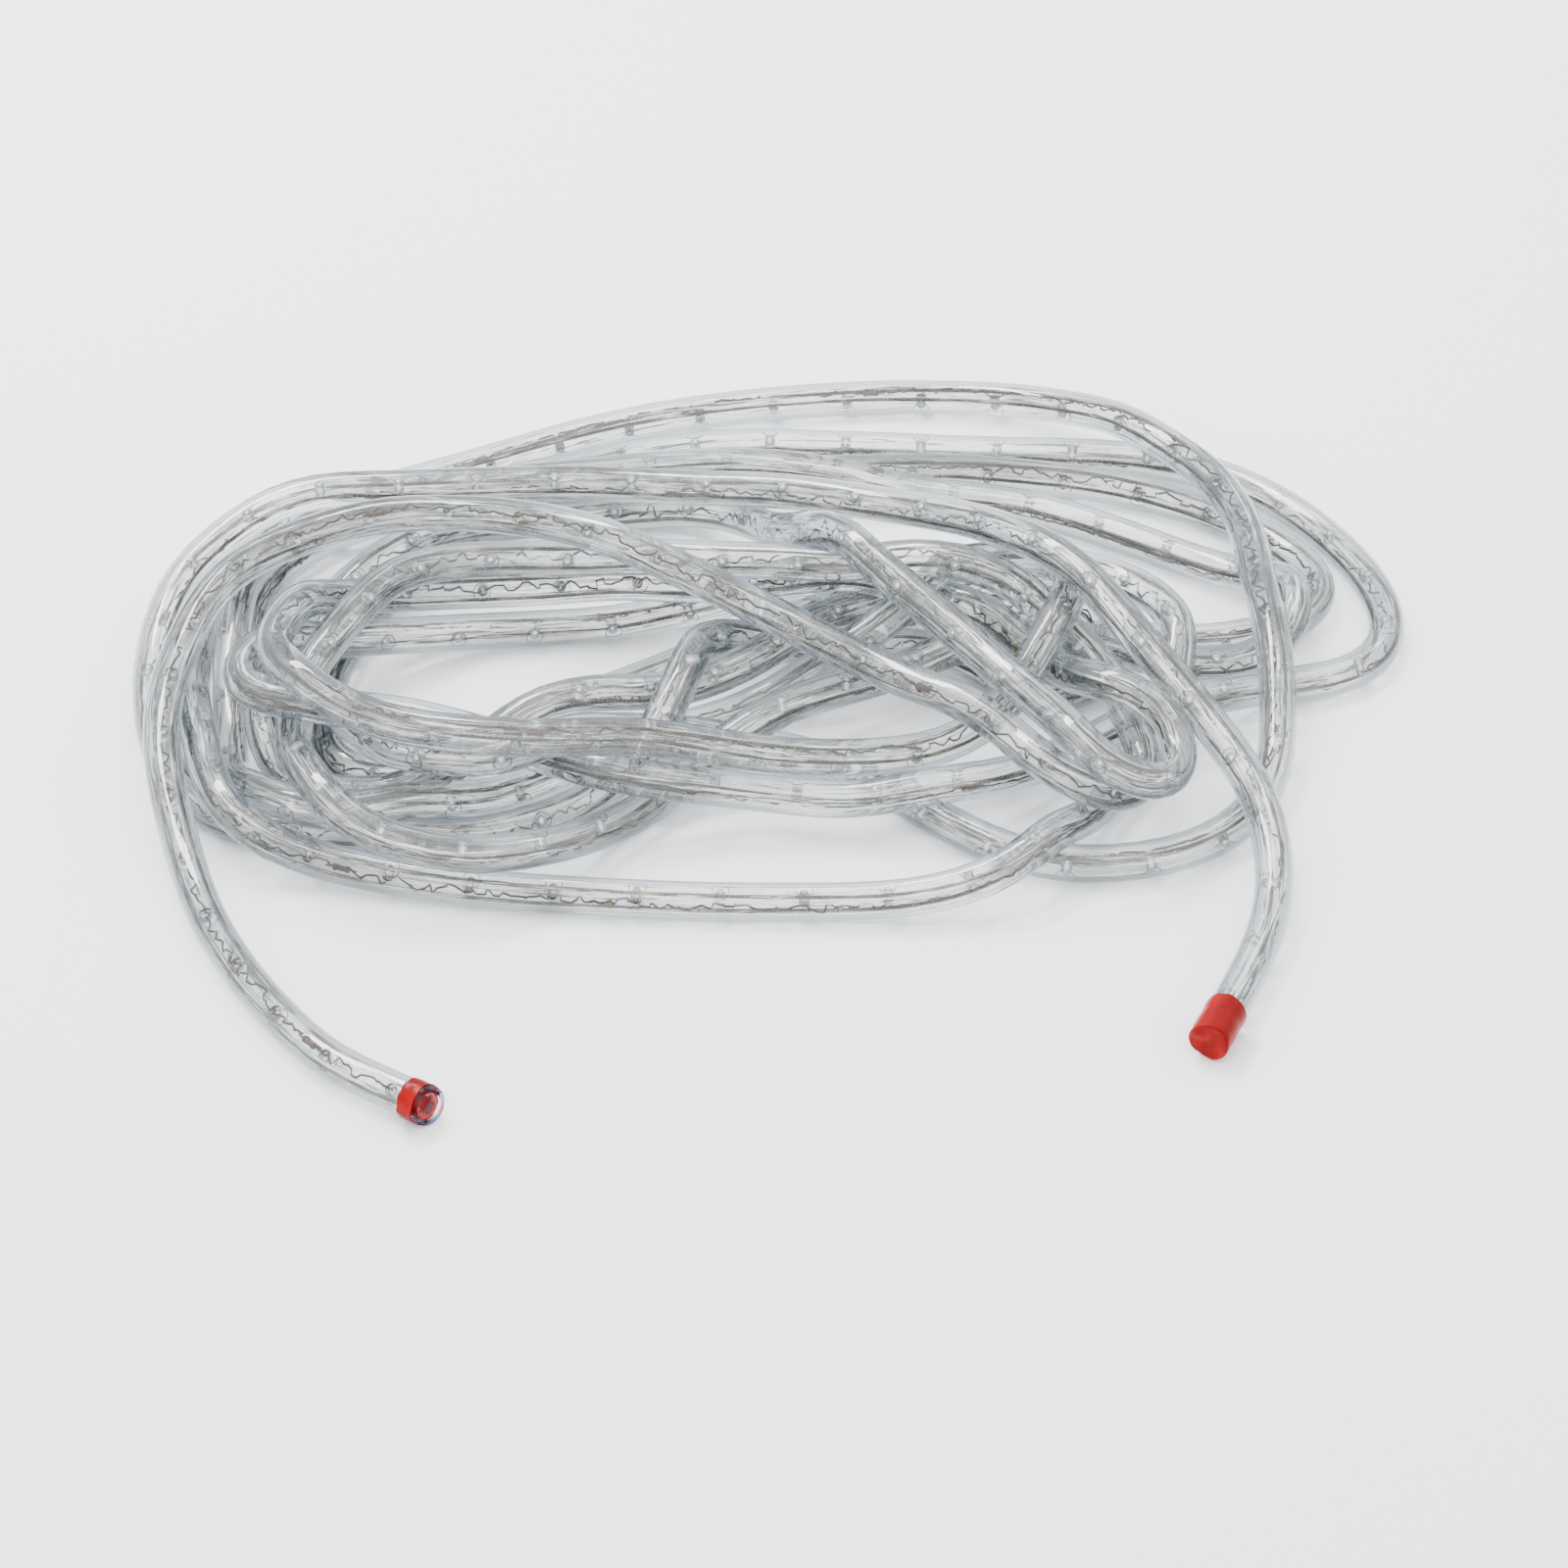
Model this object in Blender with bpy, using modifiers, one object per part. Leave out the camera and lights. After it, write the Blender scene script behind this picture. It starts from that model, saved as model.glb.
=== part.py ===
"""LED rope light: one long clear round PVC tube, lying in a loose tangled heap.

The rope is a jacket tube around an inner core. The core has a channel along one side, which
holds two bus wires and the resistors. Both cut ends are wrapped in red tape.
Lengths are in metres, +Z is up, and the heap stands on z = 0 around the origin.
"""
import math

import bmesh
import bpy
import numpy as np
from mathutils import Vector

MM = 0.001

# Section of the rope
ROPE_DIAMETER = 13.0 * MM
JACKET_WALL = 1.6 * MM
FIT_GAP = 0.3 * MM
CHANNEL_MOUTH = 4.4 * MM
CHANNEL_SIDE_WALL = 0.7 * MM
CHANNEL_FLOOR = 0.1 * MM
WIRE_DIAMETER = 1.0 * MM
RESISTOR_DIAMETER = 2.0 * MM
RESISTOR_LENGTH = 6.0 * MM

# Red tape on the two cut ends
TAPE_THICKNESS = 0.3 * MM
LEFT_TAPE_LENGTH = 6.0 * MM
LEFT_TAPE_SETBACK = 1.5 * MM
RIGHT_TAPE_LENGTH = 16.0 * MM
STRAIGHT_END = 26.0 * MM

# How the strands settle on each other: the space they keep, and how far each round moves them
STRAND_CLEARANCE = 2.0 * MM
TIGHTEST_BEND = 20.0 * MM
ROUTE_STEP = 9.0 * MM
SETTLE_ROUNDS = 240
CLOSING_ROUNDS = 40
ROUNDS_PER_SEARCH = 8
PUSH_APART = 1.6
LIFT_APART = 0.12
STRAIGHTEN = 0.25
BEND_KEPT = 0.7
PULL_HOME = 0.04
SINK = 0.08 * MM
SHARPEST_STEP = 25.0

# The straight chords that follow the settled route, and the sides of the sections
CHORD_SAG = 2.0 * MM
CHORD_TURN = 38.0
LONGEST_CHORD = 65.0 * MM
BEND_REACH = 12.0 * MM
CHORD_CLEARANCE = 0.3 * MM
CHORD_ROUNDS = 60
CHORD_PUSH = 1.2
OWN_LENGTH = 3.2 * ROPE_DIAMETER
SHARPEST_CHORD = 45.0
SIDES = 8
TAPE_SIDES = 16

# Distance of each resistor along the rope, from the left end, and the straight length it needs
RESISTOR_AT = (0.06, 0.35, 0.64, 0.71, 2.70, 3.88, 4.55, 5.03, 5.37, 6.41, 6.54, 7.70)
RESISTOR_SPAN = 25.0 * MM

# Where the rope passes, in millimetres, from the left end to the right end. Each stretch is one
# pass across the heap or one turn, and the heights are those that the strands settle towards.
ROUTE = {
    "left tail": [(-108, -178, 8), (-124, -168, 8), (-140, -158, 7), (-156, -138, 7), (-174, -110, 7),
                  (-188, -80, 7), (-196, -54, 10), (-202, -26, 17), (-205, 2, 20), (-205, 32, 22)],
    "long diagonal on top": [(-199, 58, 26), (-186, 81, 31), (-167, 99, 32), (-141, 110, 33),
                             (-110, 107, 35), (-82, 94, 38), (-52, 79, 40), (-24, 66, 34),
                             (4, 48, 31), (30, 30, 29), (58, 8, 28), (84, -13, 24),
                             (103, -36, 21), (115, -52, 19)],
    "back through the middle": [(127, -47, 19), (128, -28, 20), (119, 0, 22), (110, 32, 20),
                                (100, 52, 22), (84, 62, 31), (56, 62, 40), (22, 74, 35),
                                (-16, 80, 32), (-58, 86, 29), (-92, 92, 25), (-120, 86, 25),
                                (-138, 74, 27), (-150, 54, 28), (-158, 30, 26), (-164, 8, 22)],
    "inner front turn": [(-164, -16, 24), (-158, -38, 28), (-152, -52, 28), (-144, -60, 25),
                         (-130, -68, 22), (-112, -70, 20), (-92, -72, 20), (-76, -62, 16),
                         (-60, -38, 8), (-44, -16, 7), (-26, -4, 13), (-6, 8, 19),
                         (18, 28, 17), (46, 42, 18), (78, 64, 7), (108, 58, 7),
                         (138, 47, 14), (164, 58, 8), (184, 61, 7)],
    "back strand to the left": [(199, 72, 9), (192, 89, 17), (176, 103, 17), (154, 118, 9),
                                (124, 138, 7), (94, 156, 7), (66, 166, 8), (36, 170, 9),
                                (4, 168, 15), (-30, 162, 19), (-66, 150, 24), (-102, 144, 25),
                                (-132, 134, 29), (-155, 129, 27), (-174, 117, 22), (-186, 98, 20),
                                (-189, 78, 20), (-187, 54, 21), (-187, 28, 18)],
    "low strand to the right": [(-190, 2, 8), (-180, -30, 17), (-160, -48, 17), (-134, -44, 11),
                                (-108, -30, 7), (-82, -12, 7), (-56, 2, 8), (-28, 16, 11),
                                (2, 36, 15), (32, 54, 21), (60, 68, 29), (82, 88, 31),
                                (96, 94, 31)],
    "upper front strand": [(104, 72, 32), (102, 44, 35), (96, 20, 32), (86, 10, 22), (68, 0, 15),
                           (44, -16, 20), (22, -22, 22), (-6, -22, 24), (-42, -20, 30),
                           (-88, -34, 41), (-128, -29, 43), (-156, -16, 46)],
    "middle strand to the right": [(-172, 6, 44), (-171, 26, 42), (-161, 44, 38), (-142, 76, 18),
                                   (-116, 88, 12), (-78, 92, 12), (-36, 84, 20), (4, 82, 21),
                                   (40, 74, 23), (68, 68, 17), (94, 44, 20), (112, 8, 35),
                                   (128, -6, 33), (140, -23, 31)],
    "second diagonal": [(141, -44, 30), (132, -60, 31), (117, -51, 32), (100, -26, 34),
                        (78, 10, 35), (56, 38, 38), (34, 58, 46), (10, 94, 36),
                        (-10, 140, 15), (-34, 154, 11), (-66, 152, 11), (-96, 142, 13),
                        (-122, 122, 13), (-140, 100, 11), (-154, 74, 10), (-165, 46, 12),
                        (-173, 20, 16)],
    "rising strand to the right": [(-173, -4, 17), (-166, -17, 13), (-152, -24, 14),
                                   (-124, -26, 17), (-94, -18, 22), (-66, -6, 30), (-32, 20, 23),
                                   (2, 54, 17), (32, 82, 13), (64, 86, 22), (96, 100, 19),
                                   (124, 94, 18), (140, 72, 20)],
    "front loop": [(144, 42, 26), (140, 28, 16), (130, 8, 7), (114, -24, 7), (96, -60, 19),
                   (74, -72, 14), (48, -76, 9), (18, -75, 7), (-14, -75, 7), (-48, -73, 7),
                   (-76, -70, 7), (-106, -66, 7), (-138, -58, 7), (-162, -48, 8),
                   (-182, -38, 17), (-190, -18, 23)],
    "back arch": [(-195, 12, 16), (-200, 40, 9), (-202, 66, 7), (-201, 92, 7), (-190, 122, 7),
                  (-166, 148, 7), (-136, 166, 7), (-106, 181, 8), (-77, 197, 9), (-46, 210, 8),
                  (-16, 218, 7), (22, 224, 7), (56, 226, 7), (90, 222, 8), (114, 208, 13),
                  (138, 182, 20), (158, 160, 20), (170, 128, 21), (174, 80, 27), (176, 46, 23),
                  (176, 14, 13), (172, -16, 8)],
    "low front strand": [(158, -38, 7), (142, -50, 7), (116, -56, 7), (90, -54, 7), (70, -42, 7),
                         (52, -26, 7), (36, -8, 7), (16, 6, 7), (-6, 12, 7), (-28, 12, 11),
                         (-58, -4, 18), (-88, -26, 28), (-118, -22, 29), (-146, 10, 13),
                         (-169, 32, 8), (-182, 52, 7)],
    "back floor strand": [(-189, 76, 7), (-186, 100, 7), (-174, 124, 7), (-152, 144, 7),
                          (-124, 156, 7), (-96, 169, 7), (-68, 180, 7), (-36, 190, 7), (-2, 193, 7),
                          (26, 186, 7), (52, 182, 7), (78, 182, 7), (106, 186, 7),
                          (136, 186, 7), (160, 178, 7)],
    "right loop": [(186, 158, 7), (207, 128, 7), (220, 97, 7), (221, 70, 7), (208, 50, 7),
                   (187, 45, 7), (162, 41, 9)],
    "lower front strand": [(140, 16, 17), (120, 10, 12), (96, -6, 10), (72, -24, 16),
                           (44, -32, 17), (12, -24, 10), (-14, -22, 12), (-42, -26, 18),
                           (-78, -14, 18), (-110, -18, 27), (-142, -12, 32), (-168, -4, 34)],
    "floor strand to the right": [(-186, 8, 33), (-192, 20, 33), (-182, 32, 31), (-162, 44, 22),
                                  (-134, 64, 11), (-100, 76, 7), (-64, 82, 7), (-30, 90, 7),
                                  (4, 88, 13), (40, 88, 10), (74, 78, 7), (108, 70, 7),
                                  (146, 66, 7), (176, 71, 7)],
    "second back strand": [(198, 84, 7), (201, 100, 7), (194, 118, 7), (173, 141, 7),
                           (148, 158, 7), (118, 170, 7), (90, 174, 10), (60, 174, 12),
                           (30, 176, 9), (-2, 172, 7), (-38, 164, 7), (-74, 154, 7),
                           (-104, 142, 7), (-128, 120, 7), (-142, 92, 7), (-154, 60, 7)],
    "hidden floor turn": [(-165, 28, 7), (-163, 0, 7), (-146, -14, 7), (-120, -4, 7),
                          (-94, 14, 7), (-64, 36, 7), (-30, 56, 7), (4, 78, 7), (40, 94, 7),
                          (74, 90, 11), (106, 76, 14), (128, 66, 7), (137, 48, 7), (124, 34, 7),
                          (100, 43, 7), (76, 59, 7), (42, 69, 7), (6, 67, 12), (-14, 57, 22)],
    "steep strand": [(-23, 42, 29), (-29, 22, 34), (-37, 2, 28), (-47, -16, 16), (-64, -27, 8),
                     (-94, -34, 7), (-128, -35, 7)],
    "left outer loop": [(-154, -39, 7), (-179, -38, 7), (-198, -22, 7), (-210, 2, 7),
                        (-216, 30, 7), (-218, 60, 8), (-213, 88, 12), (-198, 111, 20),
                        (-175, 126, 28), (-146, 129, 36)],
    "top strand to the right": [(-118, 132, 36), (-86, 138, 33), (-52, 138, 30), (-16, 130, 31),
                                (20, 122, 32), (50, 108, 35), (74, 86, 42), (94, 60, 46),
                                (116, 38, 41), (136, 16, 33), (152, -6, 25)],
    "right tail": [(164, -28, 20), (170, -54, 13), (168, -82, 8), (158, -110, 7), (150, -128, 8),
                   (142, -146, 8)],
}

# Roll of the core, in degrees: at 0 its LED side faces right, seen from the left end onwards
ROLL_START = 60.0
ROLL_PER_METRE = 150.0


def smooth_curve(points, per_span=12):
    """Centripetal Catmull-Rom curve through the points."""
    p = np.vstack([2 * points[0] - points[1], points, 2 * points[-1] - points[-2]])
    pieces = []
    t = np.linspace(0.0, 1.0, per_span, endpoint=False)[:, None]
    for p0, p1, p2, p3 in zip(p, p[1:], p[2:], p[3:]):
        a = math.sqrt(np.linalg.norm(p1 - p0))
        b = math.sqrt(np.linalg.norm(p2 - p1))
        c = math.sqrt(np.linalg.norm(p3 - p2))
        m1 = b * ((p1 - p0) / a - (p2 - p0) / (a + b)) + (p2 - p1)
        m2 = b * ((p3 - p2) / c - (p3 - p1) / (b + c)) + (p2 - p1)
        pieces.append((2 * t**3 - 3 * t**2 + 1) * p1 + (t**3 - 2 * t**2 + t) * m1
                      + (3 * t**2 - 2 * t**3) * p2 + (t**3 - t**2) * m2)
    pieces.append(p[-2][None])
    return np.vstack(pieces)


def lengths_along(points):
    """Distance of each point from the first, along the line through them."""
    return np.concatenate([[0.0], np.cumsum(np.linalg.norm(np.diff(points, axis=0), axis=1))])


def at_lengths(points, wanted):
    """Points at the wanted distances along the line."""
    s = lengths_along(points)
    return np.stack([np.interp(wanted, s, points[:, k]) for k in range(3)], axis=1)


def evenly(points, step):
    """The same line with points a fixed step apart."""
    total = lengths_along(points)[-1]
    return at_lengths(points, np.linspace(0.0, total, int(round(total / step)) + 1))


def ease_kinks(p, sharpest):
    """Move each point that bends by more than the given angle towards its neighbours' middle."""
    behind = p[1:-1] - p[:-2]
    ahead = p[2:] - p[1:-1]
    lengths = np.linalg.norm(behind, axis=1) * np.linalg.norm(ahead, axis=1)
    sharp = (behind * ahead).sum(axis=1) < math.cos(math.radians(sharpest)) * lengths
    p[1:-1][sharp] += 0.2 * (ahead - behind)[sharp]


def settle(home):
    """Let the strands come to rest on each other: no two closer than a rope's width.

    Each round pushes apart the strands that are too close, opens bends that are too tight,
    bends the rope back towards its chosen shape, and lets it sink a little towards the floor.
    The closing rounds only push strands apart and open bends.
    """
    touch = ROPE_DIAMETER + STRAND_CLEARANCE
    bend_first, bend_second, bend_reach = [], [], []
    for steps in (3, 5, 7):
        chord = 2 * TIGHTEST_BEND * math.sin(steps * ROUTE_STEP / 2 / TIGHTEST_BEND)
        start = np.arange(len(home) - steps)
        bend_first.append(start)
        bend_second.append(start + steps)
        bend_reach.append(np.full(len(start), chord))
    lowest = np.full(len(home), ROPE_DIAMETER / 2)
    taped = int(round(STRAIGHT_END / ROUTE_STEP)) + 1
    lowest[:taped] += FIT_GAP + TAPE_THICKNESS
    lowest[-taped:] += FIT_GAP + TAPE_THICKNESS
    own_stretch = int(math.pi * TIGHTEST_BEND / ROUTE_STEP) + 1
    home_bend = home[:-2] + home[2:] - 2 * home[1:-1]
    home_bend[:, 2] = 0.0
    p = home.copy()
    for turn in range(SETTLE_ROUNDS):
        if turn % ROUNDS_PER_SEARCH == 0:
            apart2 = ((p[:, None] - p[None]) ** 2).sum(axis=-1)
            near_first, near_second = np.nonzero(np.triu(apart2 < (2 * touch) ** 2, own_stretch))
            first = np.concatenate([near_first] + bend_first)
            second = np.concatenate([near_second] + bend_second)
            reach = np.concatenate([np.full(len(near_first), touch)] + bend_reach)
        offset = p[first] - p[second]
        distance = np.sqrt((offset**2).sum(axis=-1)) + 1e-9
        lack = reach - distance
        close = lack > 0
        a, b, lack = first[close], second[close], lack[close]
        push = offset[close] / distance[close, None] * (0.5 * lack[:, None])
        push[:, 2] += np.where(push[:, 2] < 0, -LIFT_APART, LIFT_APART) * lack
        moved = np.zeros_like(p)
        touches = np.zeros(len(p))
        np.add.at(moved, a, push)
        np.add.at(moved, b, -push)
        np.add.at(touches, a, 1)
        np.add.at(touches, b, 1)
        p += PUSH_APART * moved / np.maximum(touches, 1)[:, None]
        if turn < SETTLE_ROUNDS - CLOSING_ROUNDS:
            bend = p[:-2] + p[2:] - 2 * p[1:-1]
            p[1:-1] += STRAIGHTEN * (bend - BEND_KEPT * home_bend)
            p[:, :2] += PULL_HOME * (home[:, :2] - p[:, :2])
            p[:, 2] -= SINK
        ease_kinks(p, SHARPEST_STEP)
        p[:, 2] = np.maximum(p[:, 2], lowest)
    return p


def ring_lengths(path):
    """Where the faceted tube gets its rings: close together in tight bends, straight at the ends."""
    s = lengths_along(path)
    total = s[-1]
    grid = np.linspace(STRAIGHT_END, total - STRAIGHT_END, int(total / (3 * MM)))
    before = at_lengths(path, grid - BEND_REACH)
    here = at_lengths(path, grid)
    after = at_lengths(path, grid + BEND_REACH)
    bend = np.linalg.norm(before + after - 2 * here, axis=1) / BEND_REACH**2 + 1e-3
    chord = np.minimum(np.sqrt(8 * CHORD_SAG / bend), math.radians(CHORD_TURN) / bend)
    chord = np.minimum(chord, LONGEST_CHORD)
    spans = np.concatenate([[0.0], np.cumsum(np.diff(grid) / chord[1:])])
    count = int(math.ceil(spans[-1]))
    inner = np.interp(np.linspace(0.0, spans[-1], count + 1), spans, grid)
    return np.concatenate([[0.0], inner, [total]])


def separate_chords(rings):
    """Move the rings so that no two straight pieces of tube between them touch."""
    reach = ROPE_DIAMETER + CHORD_CLEARANCE
    p = rings.copy()
    one, two = np.nonzero(np.triu(np.ones((len(p) - 1, len(p) - 1)), 2))
    s = lengths_along(rings)
    strangers = s[two] - s[one + 1] > OWN_LENGTH
    one, two = one[strangers], two[strangers]
    for turn in range(CHORD_ROUNDS):
        u, v = p[one + 1] - p[one], p[two + 1] - p[two]
        w = p[one] - p[two]
        uu, uv, vv = (u * u).sum(axis=1), (u * v).sum(axis=1), (v * v).sum(axis=1)
        uw, vw = (u * w).sum(axis=1), (v * w).sum(axis=1)
        s = np.clip((uv * vw - vv * uw) / np.maximum(uu * vv - uv**2, 1e-12), 0.0, 1.0)
        t = np.clip((uv * s + vw) / vv, 0.0, 1.0)
        s = np.clip((uv * t - uw) / uu, 0.0, 1.0)
        offset = w + s[:, None] * u - t[:, None] * v
        distance = np.sqrt((offset**2).sum(axis=1)) + 1e-9
        lack = reach - distance
        close = lack > 0
        if not close.any():
            break
        push = offset[close] / distance[close, None] * (0.5 * lack[close, None])
        moved = np.zeros_like(p)
        shares = np.zeros(len(p))
        for index, share, way in ((one[close], 1 - s[close], 1), (one[close] + 1, s[close], 1),
                                  (two[close], 1 - t[close], -1), (two[close] + 1, t[close], -1)):
            np.add.at(moved, index, way * share[:, None] * push)
            np.add.at(shares, index, share**2)
        p += CHORD_PUSH * moved / np.maximum(shares, 0.5)[:, None]
        ease_kinks(p, SHARPEST_CHORD)
        p[:, 2] = np.maximum(p[:, 2], np.minimum(rings[:, 2], ROPE_DIAMETER / 2))
    return p


def principled(name, colour, roughness, metallic=0.0, transmission=0.0):
    material = bpy.data.materials.new(name)
    material.use_nodes = True
    shader = material.node_tree.nodes["Principled BSDF"]
    shader.inputs["Base Color"].default_value = (*colour, 1.0)
    shader.inputs["Roughness"].default_value = roughness
    shader.inputs["Metallic"].default_value = metallic
    shader.inputs["Transmission Weight"].default_value = transmission
    material.diffuse_color = (*colour, 1.0)
    return material


def outline_curve(name, outline, guides):
    """A closed flat outline, the section that a sweep carries along the rope."""
    data = bpy.data.curves.new(name, "CURVE")
    data.dimensions = "2D"
    data.fill_mode = "NONE"
    spline = data.splines.new("POLY")
    spline.points.add(len(outline) - 1)
    for point, (x, y) in zip(spline.points, outline):
        point.co = (x, y, 0.0, 1.0)
    spline.use_cyclic_u = True
    guide = bpy.data.objects.new(name, data)
    guide.hide_render = True
    guide.display_type = "WIRE"
    guides.objects.link(guide)
    return guide


def sweep(name, rings, rolls, section, capped, material, parts, parent):
    """Carry a section along the rope's rings, turned at each ring by its roll."""
    data = bpy.data.curves.new(name, "CURVE")
    data.dimensions = "3D"
    data.twist_mode = "Z_UP"
    data.bevel_mode = "OBJECT"
    data.bevel_object = section
    data.use_fill_caps = capped
    spline = data.splines.new("POLY")
    spline.points.add(len(rings) - 1)
    for point, place, roll in zip(spline.points, rings, rolls):
        point.co = (*place, 1.0)
        point.tilt = roll
    spline.use_smooth = True
    data.materials.append(material)
    piece = bpy.data.objects.new(name, data)
    parts.objects.link(piece)
    piece.parent = parent
    return piece


def ring_outline(radius, sides):
    """Regular outline with a flat side facing +X, drawn clockwise so that a sweep faces outwards."""
    angles = [-(k + 0.5) * 2 * math.pi / sides for k in range(sides)]
    return [(radius * math.cos(a), radius * math.sin(a)) for a in angles]


def core_reach():
    """Distance from the rope's middle to the core's flat sides."""
    return ROPE_DIAMETER / 2 * math.cos(math.pi / SIDES) - JACKET_WALL - FIT_GAP


def core_outline():
    """The core's section: a round rod with an undercut channel open towards -X."""
    corner = core_reach() / math.cos(math.pi / SIDES)
    back = [p for p in ring_outline(corner, SIDES) if p[0] > -0.7 * corner]
    back.sort(key=lambda p: -math.atan2(p[1], p[0]))
    last = back[-1]
    mouth = CHANNEL_MOUTH / 2
    rim = last[0] - (-last[1] - mouth)
    pocket = core_reach() - CHANNEL_SIDE_WALL
    lip = -CHANNEL_FLOOR - WIRE_DIAMETER - 2 * FIT_GAP
    lower = [(rim, -mouth), (lip, -mouth), (lip, -pocket), (-CHANNEL_FLOOR, -pocket)]
    upper = [(x, -y) for x, y in reversed(lower)]
    return back + lower + upper


def wire_outline(side):
    """A bus wire's section, in the channel's pocket on one side."""
    radius = WIRE_DIAMETER / 2
    x = -CHANNEL_FLOOR - FIT_GAP - radius
    y = side * (core_reach() - CHANNEL_SIDE_WALL - FIT_GAP - radius)
    angles = [-2 * math.pi * k / 3 for k in range(3)]
    return [(x + radius * math.cos(a), y + radius * math.sin(a)) for a in angles]


def add_tape(name, end, inward, start, length, closed, material, parts, parent):
    """Red tape around a straight end of the rope, folded over the cut where it is closed."""
    inner = (ROPE_DIAMETER / 2 + FIT_GAP) / math.cos(math.pi / TAPE_SIDES)
    mesh = bpy.data.meshes.new(name)
    build = bmesh.new()
    bmesh.ops.create_cone(build, cap_ends=True, segments=TAPE_SIDES, radius1=inner, radius2=inner,
                          depth=length)
    ends = [f for f in build.faces if abs(f.normal.z) > 0.9]
    opened = [f for f in ends if f.normal.z > 0 or not closed]
    bmesh.ops.delete(build, geom=opened, context="FACES_ONLY")
    build.to_mesh(mesh)
    build.free()
    mesh.materials.append(material)
    mesh.shade_smooth()
    mesh.set_sharp_from_angle(angle=math.radians(40))
    tape = bpy.data.objects.new(name, mesh)
    parts.objects.link(tape)
    tape.parent = parent
    tape.rotation_mode = "QUATERNION"
    tape.rotation_quaternion = inward.to_track_quat("Z", "Y")
    tape.location = end + inward * (start + length / 2)
    shell = tape.modifiers.new("thickness", "SOLIDIFY")
    shell.thickness = TAPE_THICKNESS
    shell.offset = 1.0
    shell.use_even_offset = True
    return tape


def add_resistor(name, path, distance, roll, material, parts, parent):
    """A resistor lying along the channel, between the two bus wires."""
    place, ahead = (Vector(p) for p in at_lengths(path, [distance, distance + RESISTOR_LENGTH]))
    along = (ahead - place).normalized()
    side = along.cross(Vector((0, 0, 1))).normalized()
    up = side.cross(along)
    towards_channel = up * math.sin(roll) - side * math.cos(roll)
    bpy.ops.mesh.primitive_cylinder_add(vertices=6, radius=RESISTOR_DIAMETER / 2,
                                        depth=RESISTOR_LENGTH)
    resistor = bpy.context.object
    resistor.name = name
    for collection in resistor.users_collection:
        collection.objects.unlink(resistor)
    parts.objects.link(resistor)
    resistor.data.materials.append(material)
    resistor.parent = parent
    resistor.rotation_mode = "QUATERNION"
    resistor.rotation_quaternion = along.to_track_quat("Z", "Y")
    deep = CHANNEL_FLOOR + FIT_GAP + RESISTOR_DIAMETER / 2
    resistor.location = (place + ahead) / 2 + towards_channel * deep
    return resistor


def stand_on_origin(heap, pieces):
    """Move the heap so that its box stands on z = 0 with the origin at its middle."""
    bpy.context.view_layer.update()
    depsgraph = bpy.context.evaluated_depsgraph_get()
    corners = []
    for piece in pieces:
        shown = piece.evaluated_get(depsgraph)
        mesh = shown.to_mesh()
        corners += [shown.matrix_world @ v.co for v in mesh.vertices]
        shown.to_mesh_clear()
    low = [min(c[k] for c in corners) for k in range(3)]
    high = [max(c[k] for c in corners) for k in range(3)]
    heap.location = (-(low[0] + high[0]) / 2, -(low[1] + high[1]) / 2, -low[2])
    bpy.context.view_layer.update()


def main():
    for obj in list(bpy.data.objects):
        bpy.data.objects.remove(obj, do_unlink=True)
    parts = bpy.data.collections.new("led_rope_light")
    guides = bpy.data.collections.new("guides")
    bpy.context.scene.collection.children.link(parts)
    bpy.context.scene.collection.children.link(guides)
    heap = bpy.data.objects.new("heap", None)
    parts.objects.link(heap)

    chosen = np.array([point for stretch in ROUTE.values() for point in stretch], float) * MM
    path = settle(evenly(smooth_curve(chosen), ROUTE_STEP))
    rings = separate_chords(at_lengths(path, ring_lengths(path)))
    places = lengths_along(rings)
    rolls = np.radians(ROLL_START + ROLL_PER_METRE * places)

    clear_pvc = principled("clear_pvc", (0.86, 0.88, 0.90), 0.12, transmission=0.9)
    core_pvc = principled("core_pvc", (0.80, 0.83, 0.84), 0.20, transmission=0.8)
    tinned = principled("tinned_copper", (0.52, 0.50, 0.46), 0.35, metallic=1.0)
    red = principled("red_tape", (0.62, 0.02, 0.03), 0.30)
    ceramic = principled("resistor_body", (0.55, 0.36, 0.24), 0.45)

    round_section = outline_curve("jacket_section", ring_outline(ROPE_DIAMETER / 2, SIDES), guides)
    core_section = outline_curve("core_section", core_outline(), guides)
    jacket = sweep("jacket", rings, rolls, round_section, False, clear_pvc, parts, heap)
    wall = jacket.modifiers.new("wall", "SOLIDIFY")
    wall.thickness = JACKET_WALL
    wall.offset = -1.0
    wall.use_even_offset = True
    pieces = [jacket, sweep("core", rings, rolls, core_section, True, core_pvc, parts, heap)]
    for side, label in ((1, "left"), (-1, "right")):
        section = outline_curve("bus_wire_section_" + label, wire_outline(side), guides)
        pieces.append(sweep("bus_wire_" + label, rings, rolls, section, True, tinned, parts, heap))

    first, second = Vector(rings[0]), Vector(rings[1])
    last, before_last = Vector(rings[-1]), Vector(rings[-2])
    pieces.append(add_tape("end_tape_left", first, (second - first).normalized(),
                           LEFT_TAPE_SETBACK, LEFT_TAPE_LENGTH, False, red, parts, heap))
    pieces.append(add_tape("end_tape_right", last, (before_last - last).normalized(),
                           -FIT_GAP, RIGHT_TAPE_LENGTH, True, red, parts, heap))
    spans = np.diff(places)
    middles = (places[:-1] + spans / 2)[spans > RESISTOR_SPAN]
    for number, wanted in enumerate(RESISTOR_AT, start=1):
        distance = middles[np.argmin(np.abs(middles - wanted))] - RESISTOR_LENGTH / 2
        roll = math.radians(ROLL_START + ROLL_PER_METRE * distance)
        pieces.append(add_resistor("resistor_%02d" % number, rings, distance, roll, ceramic,
                                   parts, heap))
    stand_on_origin(heap, pieces)


main()
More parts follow.
